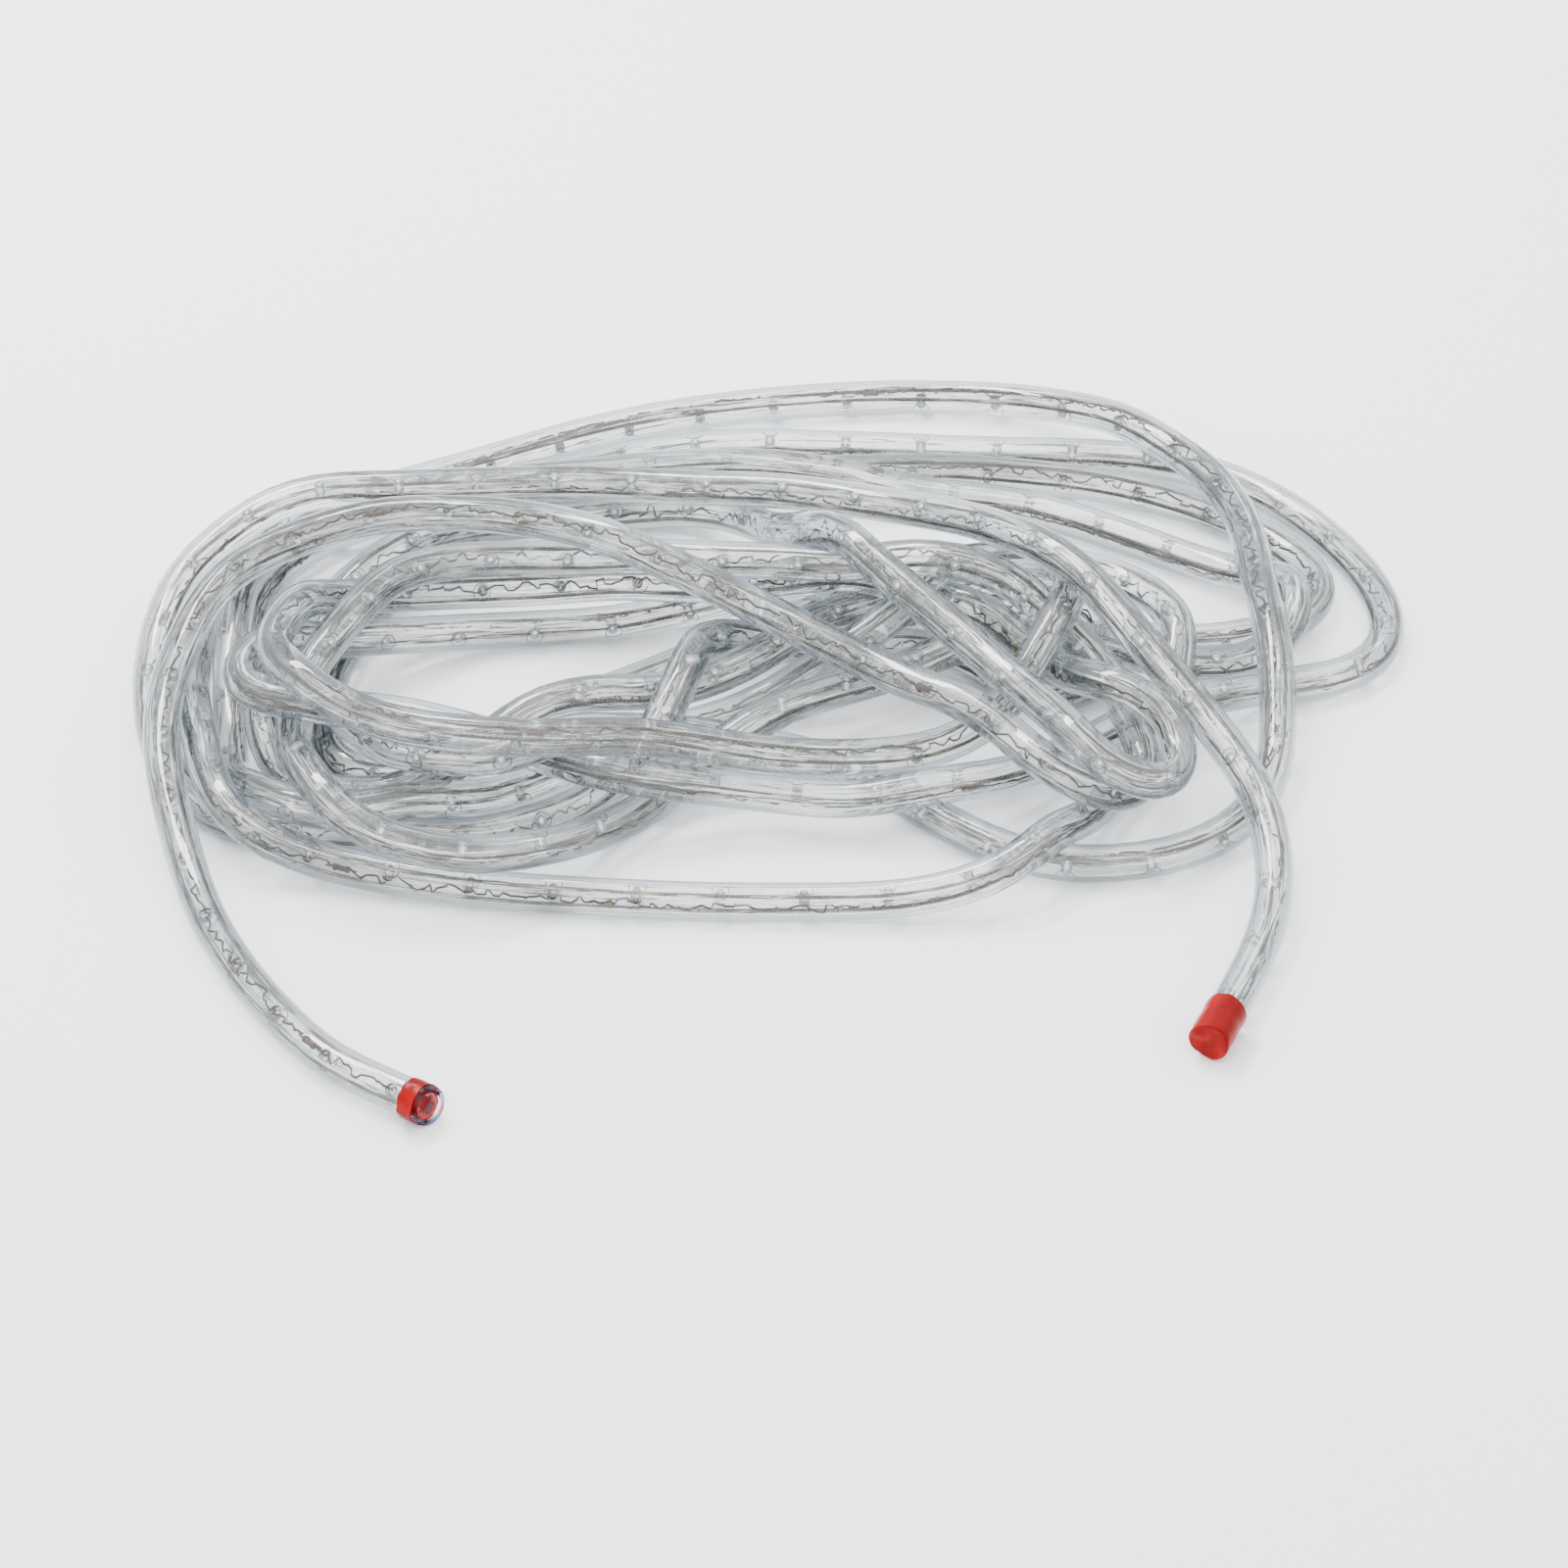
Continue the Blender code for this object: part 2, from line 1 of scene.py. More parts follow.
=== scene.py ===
"""Looks of the LED rope light: clear PVC, LEDs, wires and red tape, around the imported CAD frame."""
import math

import bpy
import numpy as np
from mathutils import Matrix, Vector

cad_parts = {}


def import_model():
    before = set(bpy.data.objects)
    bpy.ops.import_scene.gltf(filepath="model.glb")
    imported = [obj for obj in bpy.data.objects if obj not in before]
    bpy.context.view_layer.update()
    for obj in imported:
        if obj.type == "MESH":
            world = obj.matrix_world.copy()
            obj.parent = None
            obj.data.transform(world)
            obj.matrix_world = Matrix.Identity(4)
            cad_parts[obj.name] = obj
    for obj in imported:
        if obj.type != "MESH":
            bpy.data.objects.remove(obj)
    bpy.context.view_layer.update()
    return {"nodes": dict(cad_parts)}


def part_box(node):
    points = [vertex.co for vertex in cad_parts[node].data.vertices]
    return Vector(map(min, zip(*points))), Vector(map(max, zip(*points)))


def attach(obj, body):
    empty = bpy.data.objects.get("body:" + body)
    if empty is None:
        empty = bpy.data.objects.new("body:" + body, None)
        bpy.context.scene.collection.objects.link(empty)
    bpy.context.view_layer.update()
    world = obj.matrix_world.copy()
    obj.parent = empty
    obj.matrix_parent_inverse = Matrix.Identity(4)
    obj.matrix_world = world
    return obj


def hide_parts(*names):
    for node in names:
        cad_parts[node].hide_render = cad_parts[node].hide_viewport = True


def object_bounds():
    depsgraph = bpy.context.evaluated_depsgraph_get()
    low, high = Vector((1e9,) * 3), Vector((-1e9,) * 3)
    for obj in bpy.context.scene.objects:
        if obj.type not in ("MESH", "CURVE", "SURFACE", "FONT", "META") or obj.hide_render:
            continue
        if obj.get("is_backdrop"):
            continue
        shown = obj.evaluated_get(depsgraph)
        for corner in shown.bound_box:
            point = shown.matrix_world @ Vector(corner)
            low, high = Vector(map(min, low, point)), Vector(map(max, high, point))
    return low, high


MM = 0.001

# Section of the rope, as in part.py
ROPE_DIAMETER = 13.0 * MM
FIT_GAP = 0.3 * MM
TAPE_THICKNESS = 0.3 * MM
LEFT_TAPE_LENGTH = 6.0 * MM
LEFT_TAPE_SETBACK = 1.5 * MM
RIGHT_TAPE_LENGTH = 16.0 * MM
STRAIGHT_END = 26.0 * MM
STRAND_CLEARANCE = 2.0 * MM
TIGHTEST_BEND = 20.0 * MM
ROUTE_STEP = 9.0 * MM
SETTLE_ROUNDS = 240
CLOSING_ROUNDS = 40
ROUNDS_PER_SEARCH = 8
PUSH_APART = 1.6
LIFT_APART = 0.12
STRAIGHTEN = 0.25
BEND_KEPT = 0.7
PULL_HOME = 0.04
SINK = 0.08 * MM
SHARPEST_STEP = 25.0

# The core, wires, LEDs and what else shows inside
CORE_RADIUS = 4.5 * MM
CHANNEL_MOUTH = 4.4 * MM
CHANNEL_WIDTH = 6.8 * MM
CHANNEL_LIP = -1.8 * MM
WIRE_RADIUS = 0.7 * MM
WIRE_PLACE = (-0.8 * MM, 3.15 * MM)
WIRE_LAY = 11.0 * MM
WIRE_LOBES = 6
LOBE_VALLEY = 0.70
WIRE_SAG = 0.1 * MM
WIRE_STEP = 1.6 * MM
LED_PITCH = 28.0 * MM
LED_RADIUS = 1.85 * MM
LED_HOLE = 2.7 * MM
LED_SIDES = 14
LED_TILT = 0.06
LED_SEED = 7
POST_ASIDE = 0.6 * MM
LEAD_RADIUS = 0.38 * MM
LEAD_SIDES = 4
LEAD_POINTS = 19
LEAD_KINK = 1.3 * MM
LEAD_REACH = 1.9 * MM
LEAD_SEED = 11
JACKET_SIDES = 24
SKIN_SAG = 0.15 * MM
SKIN_STEP = 9.0 * MM
BORE_RADIUS = 4.7 * MM
BORE_MIDDLE = 0.05 * MM
END_BORE = 0.4 * MM
CORE_SETBACK = 0.1 * MM
RESISTOR_DIAMETER = 2.3 * MM
RESISTOR_LENGTH = 6.2 * MM
RESISTOR_DEPTH = 1.7 * MM
RESISTOR_SIDES = 14
TAPE_SIDES = 40
# The first end's cut is oblique: it leans towards this direction
CUT_FACES = (0.0, -0.788, 0.616)
CUT_SLOPE = 0.28
CUT_LEAD = 0.4 * MM
CUT_FADE = 4.0 * MM
# Solder joints, as distances along the rope, and from its far end where negative
SOLDER_AT = [k * MM for k in (95, 410, 760, 1180, 1490, 2050, 2620, 3100, 3580, 4010, 4390, 4880,
                              5260, 5790, 6300, 6870, 7400, 7960, 8420, 8800, -42)]
SOLDER_SEED = 5

# Camera: it looks along +Y, down at the heap
CAMERA_ELEVATION = 38.0
CAMERA_DISTANCE = 1.852
CAMERA_FOCAL = 123.75
SENSOR = 36.0
TARGET_IN_ROUTE = (5.0 * MM, -3.0 * MM, 0.0)

# Studio: the floor, the sky and the lamp behind the heap, in metres and watts
FLOOR_SIZE = 14.0
SKY_STRENGTH = 2.9
LAMP_SIZE = (0.9, 0.25)
LAMP_POWER = 32.0
LAMP_PLACE = (-0.5, 0.7, 1.3)

# Where the rope passes, in millimetres, from the left end to the right end. Each stretch is one
# pass across the heap or one turn, and the heights are those that the strands settle towards.
ROUTE = {
    "left tail": [(-108, -178, 8), (-124, -168, 8), (-140, -158, 7), (-156, -138, 7), (-174, -110, 7),
                  (-188, -80, 7), (-196, -54, 10), (-202, -26, 17), (-205, 2, 20), (-205, 32, 22)],
    "long diagonal on top": [(-199, 58, 26), (-186, 81, 31), (-167, 99, 32), (-141, 110, 33),
                             (-110, 107, 35), (-82, 94, 38), (-52, 79, 40), (-24, 66, 34),
                             (4, 48, 31), (30, 30, 29), (58, 8, 28), (84, -13, 24),
                             (103, -36, 21), (115, -52, 19)],
    "back through the middle": [(127, -47, 19), (128, -28, 20), (119, 0, 22), (110, 32, 20),
                                (100, 52, 22), (84, 62, 31), (56, 62, 40), (22, 74, 35),
                                (-16, 80, 32), (-58, 86, 29), (-92, 92, 25), (-120, 86, 25),
                                (-138, 74, 27), (-150, 54, 28), (-158, 30, 26), (-164, 8, 22)],
    "inner front turn": [(-164, -16, 24), (-158, -38, 28), (-152, -52, 28), (-144, -60, 25),
                         (-130, -68, 22), (-112, -70, 20), (-92, -72, 20), (-76, -62, 16),
                         (-60, -38, 8), (-44, -16, 7), (-26, -4, 13), (-6, 8, 19),
                         (18, 28, 17), (46, 42, 18), (78, 64, 7), (108, 58, 7),
                         (138, 47, 14), (164, 58, 8), (184, 61, 7)],
    "back strand to the left": [(199, 72, 9), (192, 89, 17), (176, 103, 17), (154, 118, 9),
                                (124, 138, 7), (94, 156, 7), (66, 166, 8), (36, 170, 9),
                                (4, 168, 15), (-30, 162, 19), (-66, 150, 24), (-102, 144, 25),
                                (-132, 134, 29), (-155, 129, 27), (-174, 117, 22), (-186, 98, 20),
                                (-189, 78, 20), (-187, 54, 21), (-187, 28, 18)],
    "low strand to the right": [(-190, 2, 8), (-180, -30, 17), (-160, -48, 17), (-134, -44, 11),
                                (-108, -30, 7), (-82, -12, 7), (-56, 2, 8), (-28, 16, 11),
                                (2, 36, 15), (32, 54, 21), (60, 68, 29), (82, 88, 31),
                                (96, 94, 31)],
    "upper front strand": [(104, 72, 32), (102, 44, 35), (96, 20, 32), (86, 10, 22), (68, 0, 15),
                           (44, -16, 20), (22, -22, 22), (-6, -22, 24), (-42, -20, 30),
                           (-88, -34, 41), (-128, -29, 43), (-156, -16, 46)],
    "middle strand to the right": [(-172, 6, 44), (-171, 26, 42), (-161, 44, 38), (-142, 76, 18),
                                   (-116, 88, 12), (-78, 92, 12), (-36, 84, 20), (4, 82, 21),
                                   (40, 74, 23), (68, 68, 17), (94, 44, 20), (112, 8, 35),
                                   (128, -6, 33), (140, -23, 31)],
    "second diagonal": [(141, -44, 30), (132, -60, 31), (117, -51, 32), (100, -26, 34),
                        (78, 10, 35), (56, 38, 38), (34, 58, 46), (10, 94, 36),
                        (-10, 140, 15), (-34, 154, 11), (-66, 152, 11), (-96, 142, 13),
                        (-122, 122, 13), (-140, 100, 11), (-154, 74, 10), (-165, 46, 12),
                        (-173, 20, 16)],
    "rising strand to the right": [(-173, -4, 17), (-166, -17, 13), (-152, -24, 14),
                                   (-124, -26, 17), (-94, -18, 22), (-66, -6, 30), (-32, 20, 23),
                                   (2, 54, 17), (32, 82, 13), (64, 86, 22), (96, 100, 19),
                                   (124, 94, 18), (140, 72, 20)],
    "front loop": [(144, 42, 26), (140, 28, 16), (130, 8, 7), (114, -24, 7), (96, -60, 19),
                   (74, -72, 14), (48, -76, 9), (18, -75, 7), (-14, -75, 7), (-48, -73, 7),
                   (-76, -70, 7), (-106, -66, 7), (-138, -58, 7), (-162, -48, 8),
                   (-182, -38, 17), (-190, -18, 23)],
    "back arch": [(-195, 12, 16), (-200, 40, 9), (-202, 66, 7), (-201, 92, 7), (-190, 122, 7),
                  (-166, 148, 7), (-136, 166, 7), (-106, 181, 8), (-77, 197, 9), (-46, 210, 8),
                  (-16, 218, 7), (22, 224, 7), (56, 226, 7), (90, 222, 8), (114, 208, 13),
                  (138, 182, 20), (158, 160, 20), (170, 128, 21), (174, 80, 27), (176, 46, 23),
                  (176, 14, 13), (172, -16, 8)],
    "low front strand": [(158, -38, 7), (142, -50, 7), (116, -56, 7), (90, -54, 7), (70, -42, 7),
                         (52, -26, 7), (36, -8, 7), (16, 6, 7), (-6, 12, 7), (-28, 12, 11),
                         (-58, -4, 18), (-88, -26, 28), (-118, -22, 29), (-146, 10, 13),
                         (-169, 32, 8), (-182, 52, 7)],
    "back floor strand": [(-189, 76, 7), (-186, 100, 7), (-174, 124, 7), (-152, 144, 7),
                          (-124, 156, 7), (-96, 169, 7), (-68, 180, 7), (-36, 190, 7), (-2, 193, 7),
                          (26, 186, 7), (52, 182, 7), (78, 182, 7), (106, 186, 7),
                          (136, 186, 7), (160, 178, 7)],
    "right loop": [(186, 158, 7), (207, 128, 7), (220, 97, 7), (221, 70, 7), (208, 50, 7),
                   (187, 45, 7), (162, 41, 9)],
    "lower front strand": [(140, 16, 17), (120, 10, 12), (96, -6, 10), (72, -24, 16),
                           (44, -32, 17), (12, -24, 10), (-14, -22, 12), (-42, -26, 18),
                           (-78, -14, 18), (-110, -18, 27), (-142, -12, 32), (-168, -4, 34)],
    "floor strand to the right": [(-186, 8, 33), (-192, 20, 33), (-182, 32, 31), (-162, 44, 22),
                                  (-134, 64, 11), (-100, 76, 7), (-64, 82, 7), (-30, 90, 7),
                                  (4, 88, 13), (40, 88, 10), (74, 78, 7), (108, 70, 7),
                                  (146, 66, 7), (176, 71, 7)],
    "second back strand": [(198, 84, 7), (201, 100, 7), (194, 118, 7), (173, 141, 7),
                           (148, 158, 7), (118, 170, 7), (90, 174, 10), (60, 174, 12),
                           (30, 176, 9), (-2, 172, 7), (-38, 164, 7), (-74, 154, 7),
                           (-104, 142, 7), (-128, 120, 7), (-142, 92, 7), (-154, 60, 7)],
    "hidden floor turn": [(-165, 28, 7), (-163, 0, 7), (-146, -14, 7), (-120, -4, 7),
                          (-94, 14, 7), (-64, 36, 7), (-30, 56, 7), (4, 78, 7), (40, 94, 7),
                          (74, 90, 11), (106, 76, 14), (128, 66, 7), (137, 48, 7), (124, 34, 7),
                          (100, 43, 7), (76, 59, 7), (42, 69, 7), (6, 67, 12), (-14, 57, 22)],
    "steep strand": [(-23, 42, 29), (-29, 22, 34), (-37, 2, 28), (-47, -16, 16), (-64, -27, 8),
                     (-94, -34, 7), (-128, -35, 7)],
    "left outer loop": [(-154, -39, 7), (-179, -38, 7), (-198, -22, 7), (-210, 2, 7),
                        (-216, 30, 7), (-218, 60, 8), (-213, 88, 12), (-198, 111, 20),
                        (-175, 126, 28), (-146, 129, 36)],
    "top strand to the right": [(-118, 132, 36), (-86, 138, 33), (-52, 138, 30), (-16, 130, 31),
                                (20, 122, 32), (50, 108, 35), (74, 86, 42), (94, 60, 46),
                                (116, 38, 41), (136, 16, 33), (152, -6, 25)],
    "right tail": [(164, -28, 20), (170, -54, 13), (168, -82, 8), (158, -110, 7), (150, -128, 8),
                   (142, -146, 8)],
}

# Roll of the core, in degrees: at 0 its LED side faces right, seen from the left end onwards
ROLL_START = 60.0
ROLL_PER_METRE = 150.0


def smooth_curve(points, per_span=12):
    """Centripetal Catmull-Rom curve through the points."""
    p = np.vstack([2 * points[0] - points[1], points, 2 * points[-1] - points[-2]])
    pieces = []
    t = np.linspace(0.0, 1.0, per_span, endpoint=False)[:, None]
    for p0, p1, p2, p3 in zip(p, p[1:], p[2:], p[3:]):
        a = math.sqrt(np.linalg.norm(p1 - p0))
        b = math.sqrt(np.linalg.norm(p2 - p1))
        c = math.sqrt(np.linalg.norm(p3 - p2))
        m1 = b * ((p1 - p0) / a - (p2 - p0) / (a + b)) + (p2 - p1)
        m2 = b * ((p3 - p2) / c - (p3 - p1) / (b + c)) + (p2 - p1)
        pieces.append((2 * t**3 - 3 * t**2 + 1) * p1 + (t**3 - 2 * t**2 + t) * m1
                      + (3 * t**2 - 2 * t**3) * p2 + (t**3 - t**2) * m2)
    pieces.append(p[-2][None])
    return np.vstack(pieces)


def lengths_along(points):
    """Distance of each point from the first, along the line through them."""
    return np.concatenate([[0.0], np.cumsum(np.linalg.norm(np.diff(points, axis=0), axis=1))])


def at_lengths(points, wanted):
    """Points at the wanted distances along the line."""
    s = lengths_along(points)
    return np.stack([np.interp(wanted, s, points[:, k]) for k in range(3)], axis=1)


def evenly(points, step):
    """The same line with points a fixed step apart."""
    total = lengths_along(points)[-1]
    return at_lengths(points, np.linspace(0.0, total, int(round(total / step)) + 1))


def ease_kinks(p, sharpest):
    """Move each point that bends by more than the given angle towards its neighbours' middle."""
    behind = p[1:-1] - p[:-2]
    ahead = p[2:] - p[1:-1]
    lengths = np.linalg.norm(behind, axis=1) * np.linalg.norm(ahead, axis=1)
    sharp = (behind * ahead).sum(axis=1) < math.cos(math.radians(sharpest)) * lengths
    p[1:-1][sharp] += 0.2 * (ahead - behind)[sharp]


def settle(home):
    """Let the strands come to rest on each other: no two closer than a rope's width.

    Each round pushes apart the strands that are too close, opens bends that are too tight,
    bends the rope back towards its chosen shape, and lets it sink a little towards the floor.
    The closing rounds only push strands apart and open bends.
    """
    touch = ROPE_DIAMETER + STRAND_CLEARANCE
    bend_first, bend_second, bend_reach = [], [], []
    for steps in (3, 5, 7):
        chord = 2 * TIGHTEST_BEND * math.sin(steps * ROUTE_STEP / 2 / TIGHTEST_BEND)
        start = np.arange(len(home) - steps)
        bend_first.append(start)
        bend_second.append(start + steps)
        bend_reach.append(np.full(len(start), chord))
    lowest = np.full(len(home), ROPE_DIAMETER / 2)
    taped = int(round(STRAIGHT_END / ROUTE_STEP)) + 1
    lowest[:taped] += FIT_GAP + TAPE_THICKNESS
    lowest[-taped:] += FIT_GAP + TAPE_THICKNESS
    own_stretch = int(math.pi * TIGHTEST_BEND / ROUTE_STEP) + 1
    home_bend = home[:-2] + home[2:] - 2 * home[1:-1]
    home_bend[:, 2] = 0.0
    p = home.copy()
    for turn in range(SETTLE_ROUNDS):
        if turn % ROUNDS_PER_SEARCH == 0:
            apart2 = ((p[:, None] - p[None]) ** 2).sum(axis=-1)
            near_first, near_second = np.nonzero(np.triu(apart2 < (2 * touch) ** 2, own_stretch))
            first = np.concatenate([near_first] + bend_first)
            second = np.concatenate([near_second] + bend_second)
            reach = np.concatenate([np.full(len(near_first), touch)] + bend_reach)
        offset = p[first] - p[second]
        distance = np.sqrt((offset**2).sum(axis=-1)) + 1e-9
        lack = reach - distance
        close = lack > 0
        a, b, lack = first[close], second[close], lack[close]
        push = offset[close] / distance[close, None] * (0.5 * lack[:, None])
        push[:, 2] += np.where(push[:, 2] < 0, -LIFT_APART, LIFT_APART) * lack
        moved = np.zeros_like(p)
        touches = np.zeros(len(p))
        np.add.at(moved, a, push)
        np.add.at(moved, b, -push)
        np.add.at(touches, a, 1)
        np.add.at(touches, b, 1)
        p += PUSH_APART * moved / np.maximum(touches, 1)[:, None]
        if turn < SETTLE_ROUNDS - CLOSING_ROUNDS:
            bend = p[:-2] + p[2:] - 2 * p[1:-1]
            p[1:-1] += STRAIGHTEN * (bend - BEND_KEPT * home_bend)
            p[:, :2] += PULL_HOME * (home[:, :2] - p[:, :2])
            p[:, 2] -= SINK
        ease_kinks(p, SHARPEST_STEP)
        p[:, 2] = np.maximum(p[:, 2], lowest)
    return p


def ease(points, rounds):
    """The line with the small wobble between neighbouring points taken out."""
    p = points.copy()
    for _ in range(rounds):
        p[1:-1] += 0.25 * (p[:-2] + p[2:] - 2 * p[1:-1])
    return p


class Rope:
    """The line that every piece of the rope follows, and the section's axes along it."""

    def __init__(self, line):
        self.line = line
        self.s = lengths_along(line)
        self.length = self.s[-1]
        ahead = np.gradient(line, self.s, axis=0)
        ahead /= np.linalg.norm(ahead, axis=1)[:, None]
        side = np.cross(ahead, [0.0, 0.0, 1.0])
        side /= np.linalg.norm(side, axis=1)[:, None]
        up = np.cross(side, ahead)
        roll = np.radians(ROLL_START + ROLL_PER_METRE * self.s)[:, None]
        self.ahead = ahead
        self.x = side * np.cos(roll) - up * np.sin(roll)
        self.y = up * np.cos(roll) + side * np.sin(roll)
        turn = np.linalg.norm(np.gradient(ahead, self.s, axis=0), axis=1)
        self.bend = np.convolve(turn, np.ones(5) / 5, mode="same")
        # The first cut leans towards this side of the section
        self.cut_side = np.array([self.x[0] @ CUT_FACES, self.y[0] @ CUT_FACES])
        self.cut_side /= np.linalg.norm(self.cut_side)

    def at(self, wanted):
        """Centres and the section's two axes at the wanted distances."""
        return [np.stack([np.interp(wanted, self.s, a[:, k]) for k in range(3)], axis=1)
                for a in (self.line, self.x, self.y)]

    def stations(self, sag, longest, start=0.0, end=None):
        """Distances for the rings of a swept piece: closer together where the rope bends."""
        end = self.length if end is None else end
        grid = np.linspace(start, end, int((end - start) / (1.5 * MM)) + 2)
        bend = np.interp(grid, self.s, self.bend) + 1e-3
        chord = np.minimum(np.sqrt(8 * sag / bend), longest)
        spans = np.concatenate([[0.0], np.cumsum(np.diff(grid) / chord[1:])])
        return np.interp(np.linspace(0.0, spans[-1], int(math.ceil(spans[-1])) + 1), spans, grid)

    def place(self, points):
        """World positions of points given as (x, y, distance along the rope)."""
        points = np.asarray(points, float)
        centre, x, y = self.at(points[:, 2])
        past_end = points[:, 2] - np.clip(points[:, 2], 0.0, self.length)
        fade = np.clip(1.0 - points[:, 2] / CUT_FADE, 0.0, 1.0) ** 2
        past_end = past_end + fade * (CUT_SLOPE * (points[:, :2] @ self.cut_side) - CUT_LEAD)
        return centre + x * points[:, :1] + y * points[:, 1:2] + np.cross(y, x) * past_end[:, None]

    def nearest(self, point):
        """Distance along the rope of the place that is nearest to a point."""
        return self.s[np.argmin(np.linalg.norm(self.line - np.asarray(point), axis=1))]


def new_piece(name, verts, faces, material, section):
    """A smooth mesh whose points keep their place in the rope's section, if it is given."""
    mesh = bpy.data.meshes.new(name)
    mesh.from_pydata([tuple(v) for v in verts], [], faces)
    mesh.shade_smooth()
    mesh.materials.append(material)
    if section is not None:
        layer = mesh.attributes.new("section", "FLOAT_VECTOR", "POINT")
        layer.data.foreach_set("vector", np.asarray(section, np.float32).ravel())
    mesh.validate()
    piece = bpy.data.objects.new(name, mesh)
    bpy.context.scene.collection.objects.link(piece)
    return piece


def sweep(rope, name, rows, places, material, looped=False, sharp=50.0):
    """Carry rings of section points along the rope: one outline for all rings, or one for each.

    A ring's place is its distance along the rope, or one distance for each of its points.
    """
    rows = np.asarray(rows, float)
    rows = np.broadcast_to(rows, (len(places),) + rows.shape[-2:])
    count = rows.shape[1]
    heights = np.stack([np.broadcast_to(place, count) for place in places])
    section = np.concatenate([rows, heights[:, :, None]], axis=2).reshape(-1, 3)
    first = np.arange(len(places) if looped else len(places) - 1)[:, None] * count
    second = (first + count) % len(section)
    k = np.arange(count)[None]
    after = (k + 1) % count
    faces = np.stack([first + k, second + k, second + after, first + after], axis=-1)
    faces = faces.reshape(-1, 4).tolist()
    if not looped:
        faces.append(list(range(count)))
        faces.append([len(section) - 1 - q for q in range(count)])
    piece = new_piece(name, rope.place(section), faces, material, section)
    piece.data.set_sharp_from_angle(angle=math.radians(sharp))
    return piece


def circle(radius, sides):
    a = np.arange(sides) * 2 * math.pi / sides
    return np.stack([radius * np.cos(a), radius * np.sin(a)], axis=1)


class Builder:
    """Gathers many small shapes into one mesh."""

    def __init__(self):
        self.verts = []
        self.faces = []

    def ring(self, centre, radius, u, v, sides):
        """Points around a centre, in the plane of u and v."""
        for k in range(sides):
            a = 2 * math.pi * k / sides
            self.verts.append(centre + radius * (u * math.cos(a) + v * math.sin(a)))

    def skin(self, start, sides):
        """Faces over the rings added since start, closed at both ends."""
        last = len(self.verts) - sides
        for first in range(start, last, sides):
            for k in range(sides):
                n = (k + 1) % sides
                self.faces.append([first + k, first + n, first + sides + n, first + sides + k])
        self.faces.append([start + k for k in range(sides)][::-1])
        self.faces.append([last + k for k in range(sides)])

    def lathe(self, base, axis, profile, sides):
        """Turn a profile of (radius, height) about the axis that stands on base."""
        axis = axis / np.linalg.norm(axis)
        helper = np.array([0.0, 0.0, 1.0]) if abs(axis[2]) < 0.9 else np.array([1.0, 0.0, 0.0])
        u = np.cross(axis, helper)
        u /= np.linalg.norm(u)
        start = len(self.verts)
        for radius, height in profile:
            self.ring(base + axis * height, radius, u, np.cross(axis, u), sides)
        self.skin(start, sides)

    def lead(self, points):
        """A thin lead through the points."""
        points = np.asarray(points, float)
        ahead = np.gradient(points, axis=0)
        ahead /= np.linalg.norm(ahead, axis=1)[:, None] + 1e-12
        start = len(self.verts)
        u = np.cross(ahead[0], [0.3, 0.2, 0.93])
        for place, t in zip(points, ahead):
            u = u - t * (u @ t)
            u /= np.linalg.norm(u) + 1e-12
            self.ring(place, LEAD_RADIUS, u, np.cross(t, u), LEAD_SIDES)
        self.skin(start, LEAD_SIDES)

    def piece(self, name, material, section=None):
        return new_piece(name, self.verts, self.faces, material, section)


def node_material(name):
    """A new material with an empty node tree."""
    material = bpy.data.materials.new(name)
    material.use_nodes = True
    material.node_tree.nodes.clear()
    return material, material.node_tree


def with_surface(material, shader):
    """The material, with the shader's output as its surface."""
    add_node(material.node_tree, "ShaderNodeOutputMaterial", {"Surface": shader.outputs[0]})
    return material


def add_node(tree, kind, inputs=None, **settings):
    """A node whose inputs are set to plain values or linked to sockets."""
    node = tree.nodes.new(kind)
    for key, value in settings.items():
        setattr(node, key, value)
    for key, value in (inputs or {}).items():
        if isinstance(value, bpy.types.NodeSocket):
            tree.links.new(value, node.inputs[key])
        else:
            node.inputs[key].default_value = value
    return node


def math_node(tree, operation, *values):
    """A math node on sockets or plain numbers."""
    inputs = dict(enumerate(values))
    return add_node(tree, "ShaderNodeMath", inputs, operation=operation).outputs["Value"]


def squares_added(tree, x, y):
    return math_node(tree, "ADD", math_node(tree, "MULTIPLY", x, x), math_node(tree, "MULTIPLY", y, y))


def reach_of(tree, x, y):
    """Distance from the middle of the section, or of another place."""
    return math_node(tree, "SQRT", squares_added(tree, x, y))


def step_between(tree, value, low, high):
    """0 below low, 1 above high, and smooth between."""
    node = add_node(tree, "ShaderNodeMapRange", {"Value": value, "From Min": low, "From Max": high},
                    interpolation_type="SMOOTHSTEP")
    return node.outputs["Result"]


def ramp(tree, factor, stops, stepped=False):
    """Colour ramp with stops of (position, colour)."""
    node = add_node(tree, "ShaderNodeValToRGB", {"Fac": factor})
    elements = node.color_ramp.elements
    while len(elements) < len(stops):
        elements.new(0.5)
    for element, (position, colour) in zip(elements, stops):
        element.position = position
        element.color = (*colour, 1.0)
    if stepped:
        node.color_ramp.interpolation = "CONSTANT"
    return node.outputs["Color"]


def mixed_colour(tree, factor, first, second):
    """From the first colour at 0 to the second at 1; each is a socket or a plain colour."""
    node = add_node(tree, "ShaderNodeMix", {"Factor": factor, "A": first, "B": second},
                    data_type="RGBA")
    return node.outputs["Result"]


def facing_away(tree):
    """0 where the surface faces the camera and 1 where it is seen edge-on."""
    return add_node(tree, "ShaderNodeLayerWeight", {"Blend": 0.5}).outputs["Facing"]


def object_place(tree):
    return add_node(tree, "ShaderNodeTexCoord").outputs["Object"]


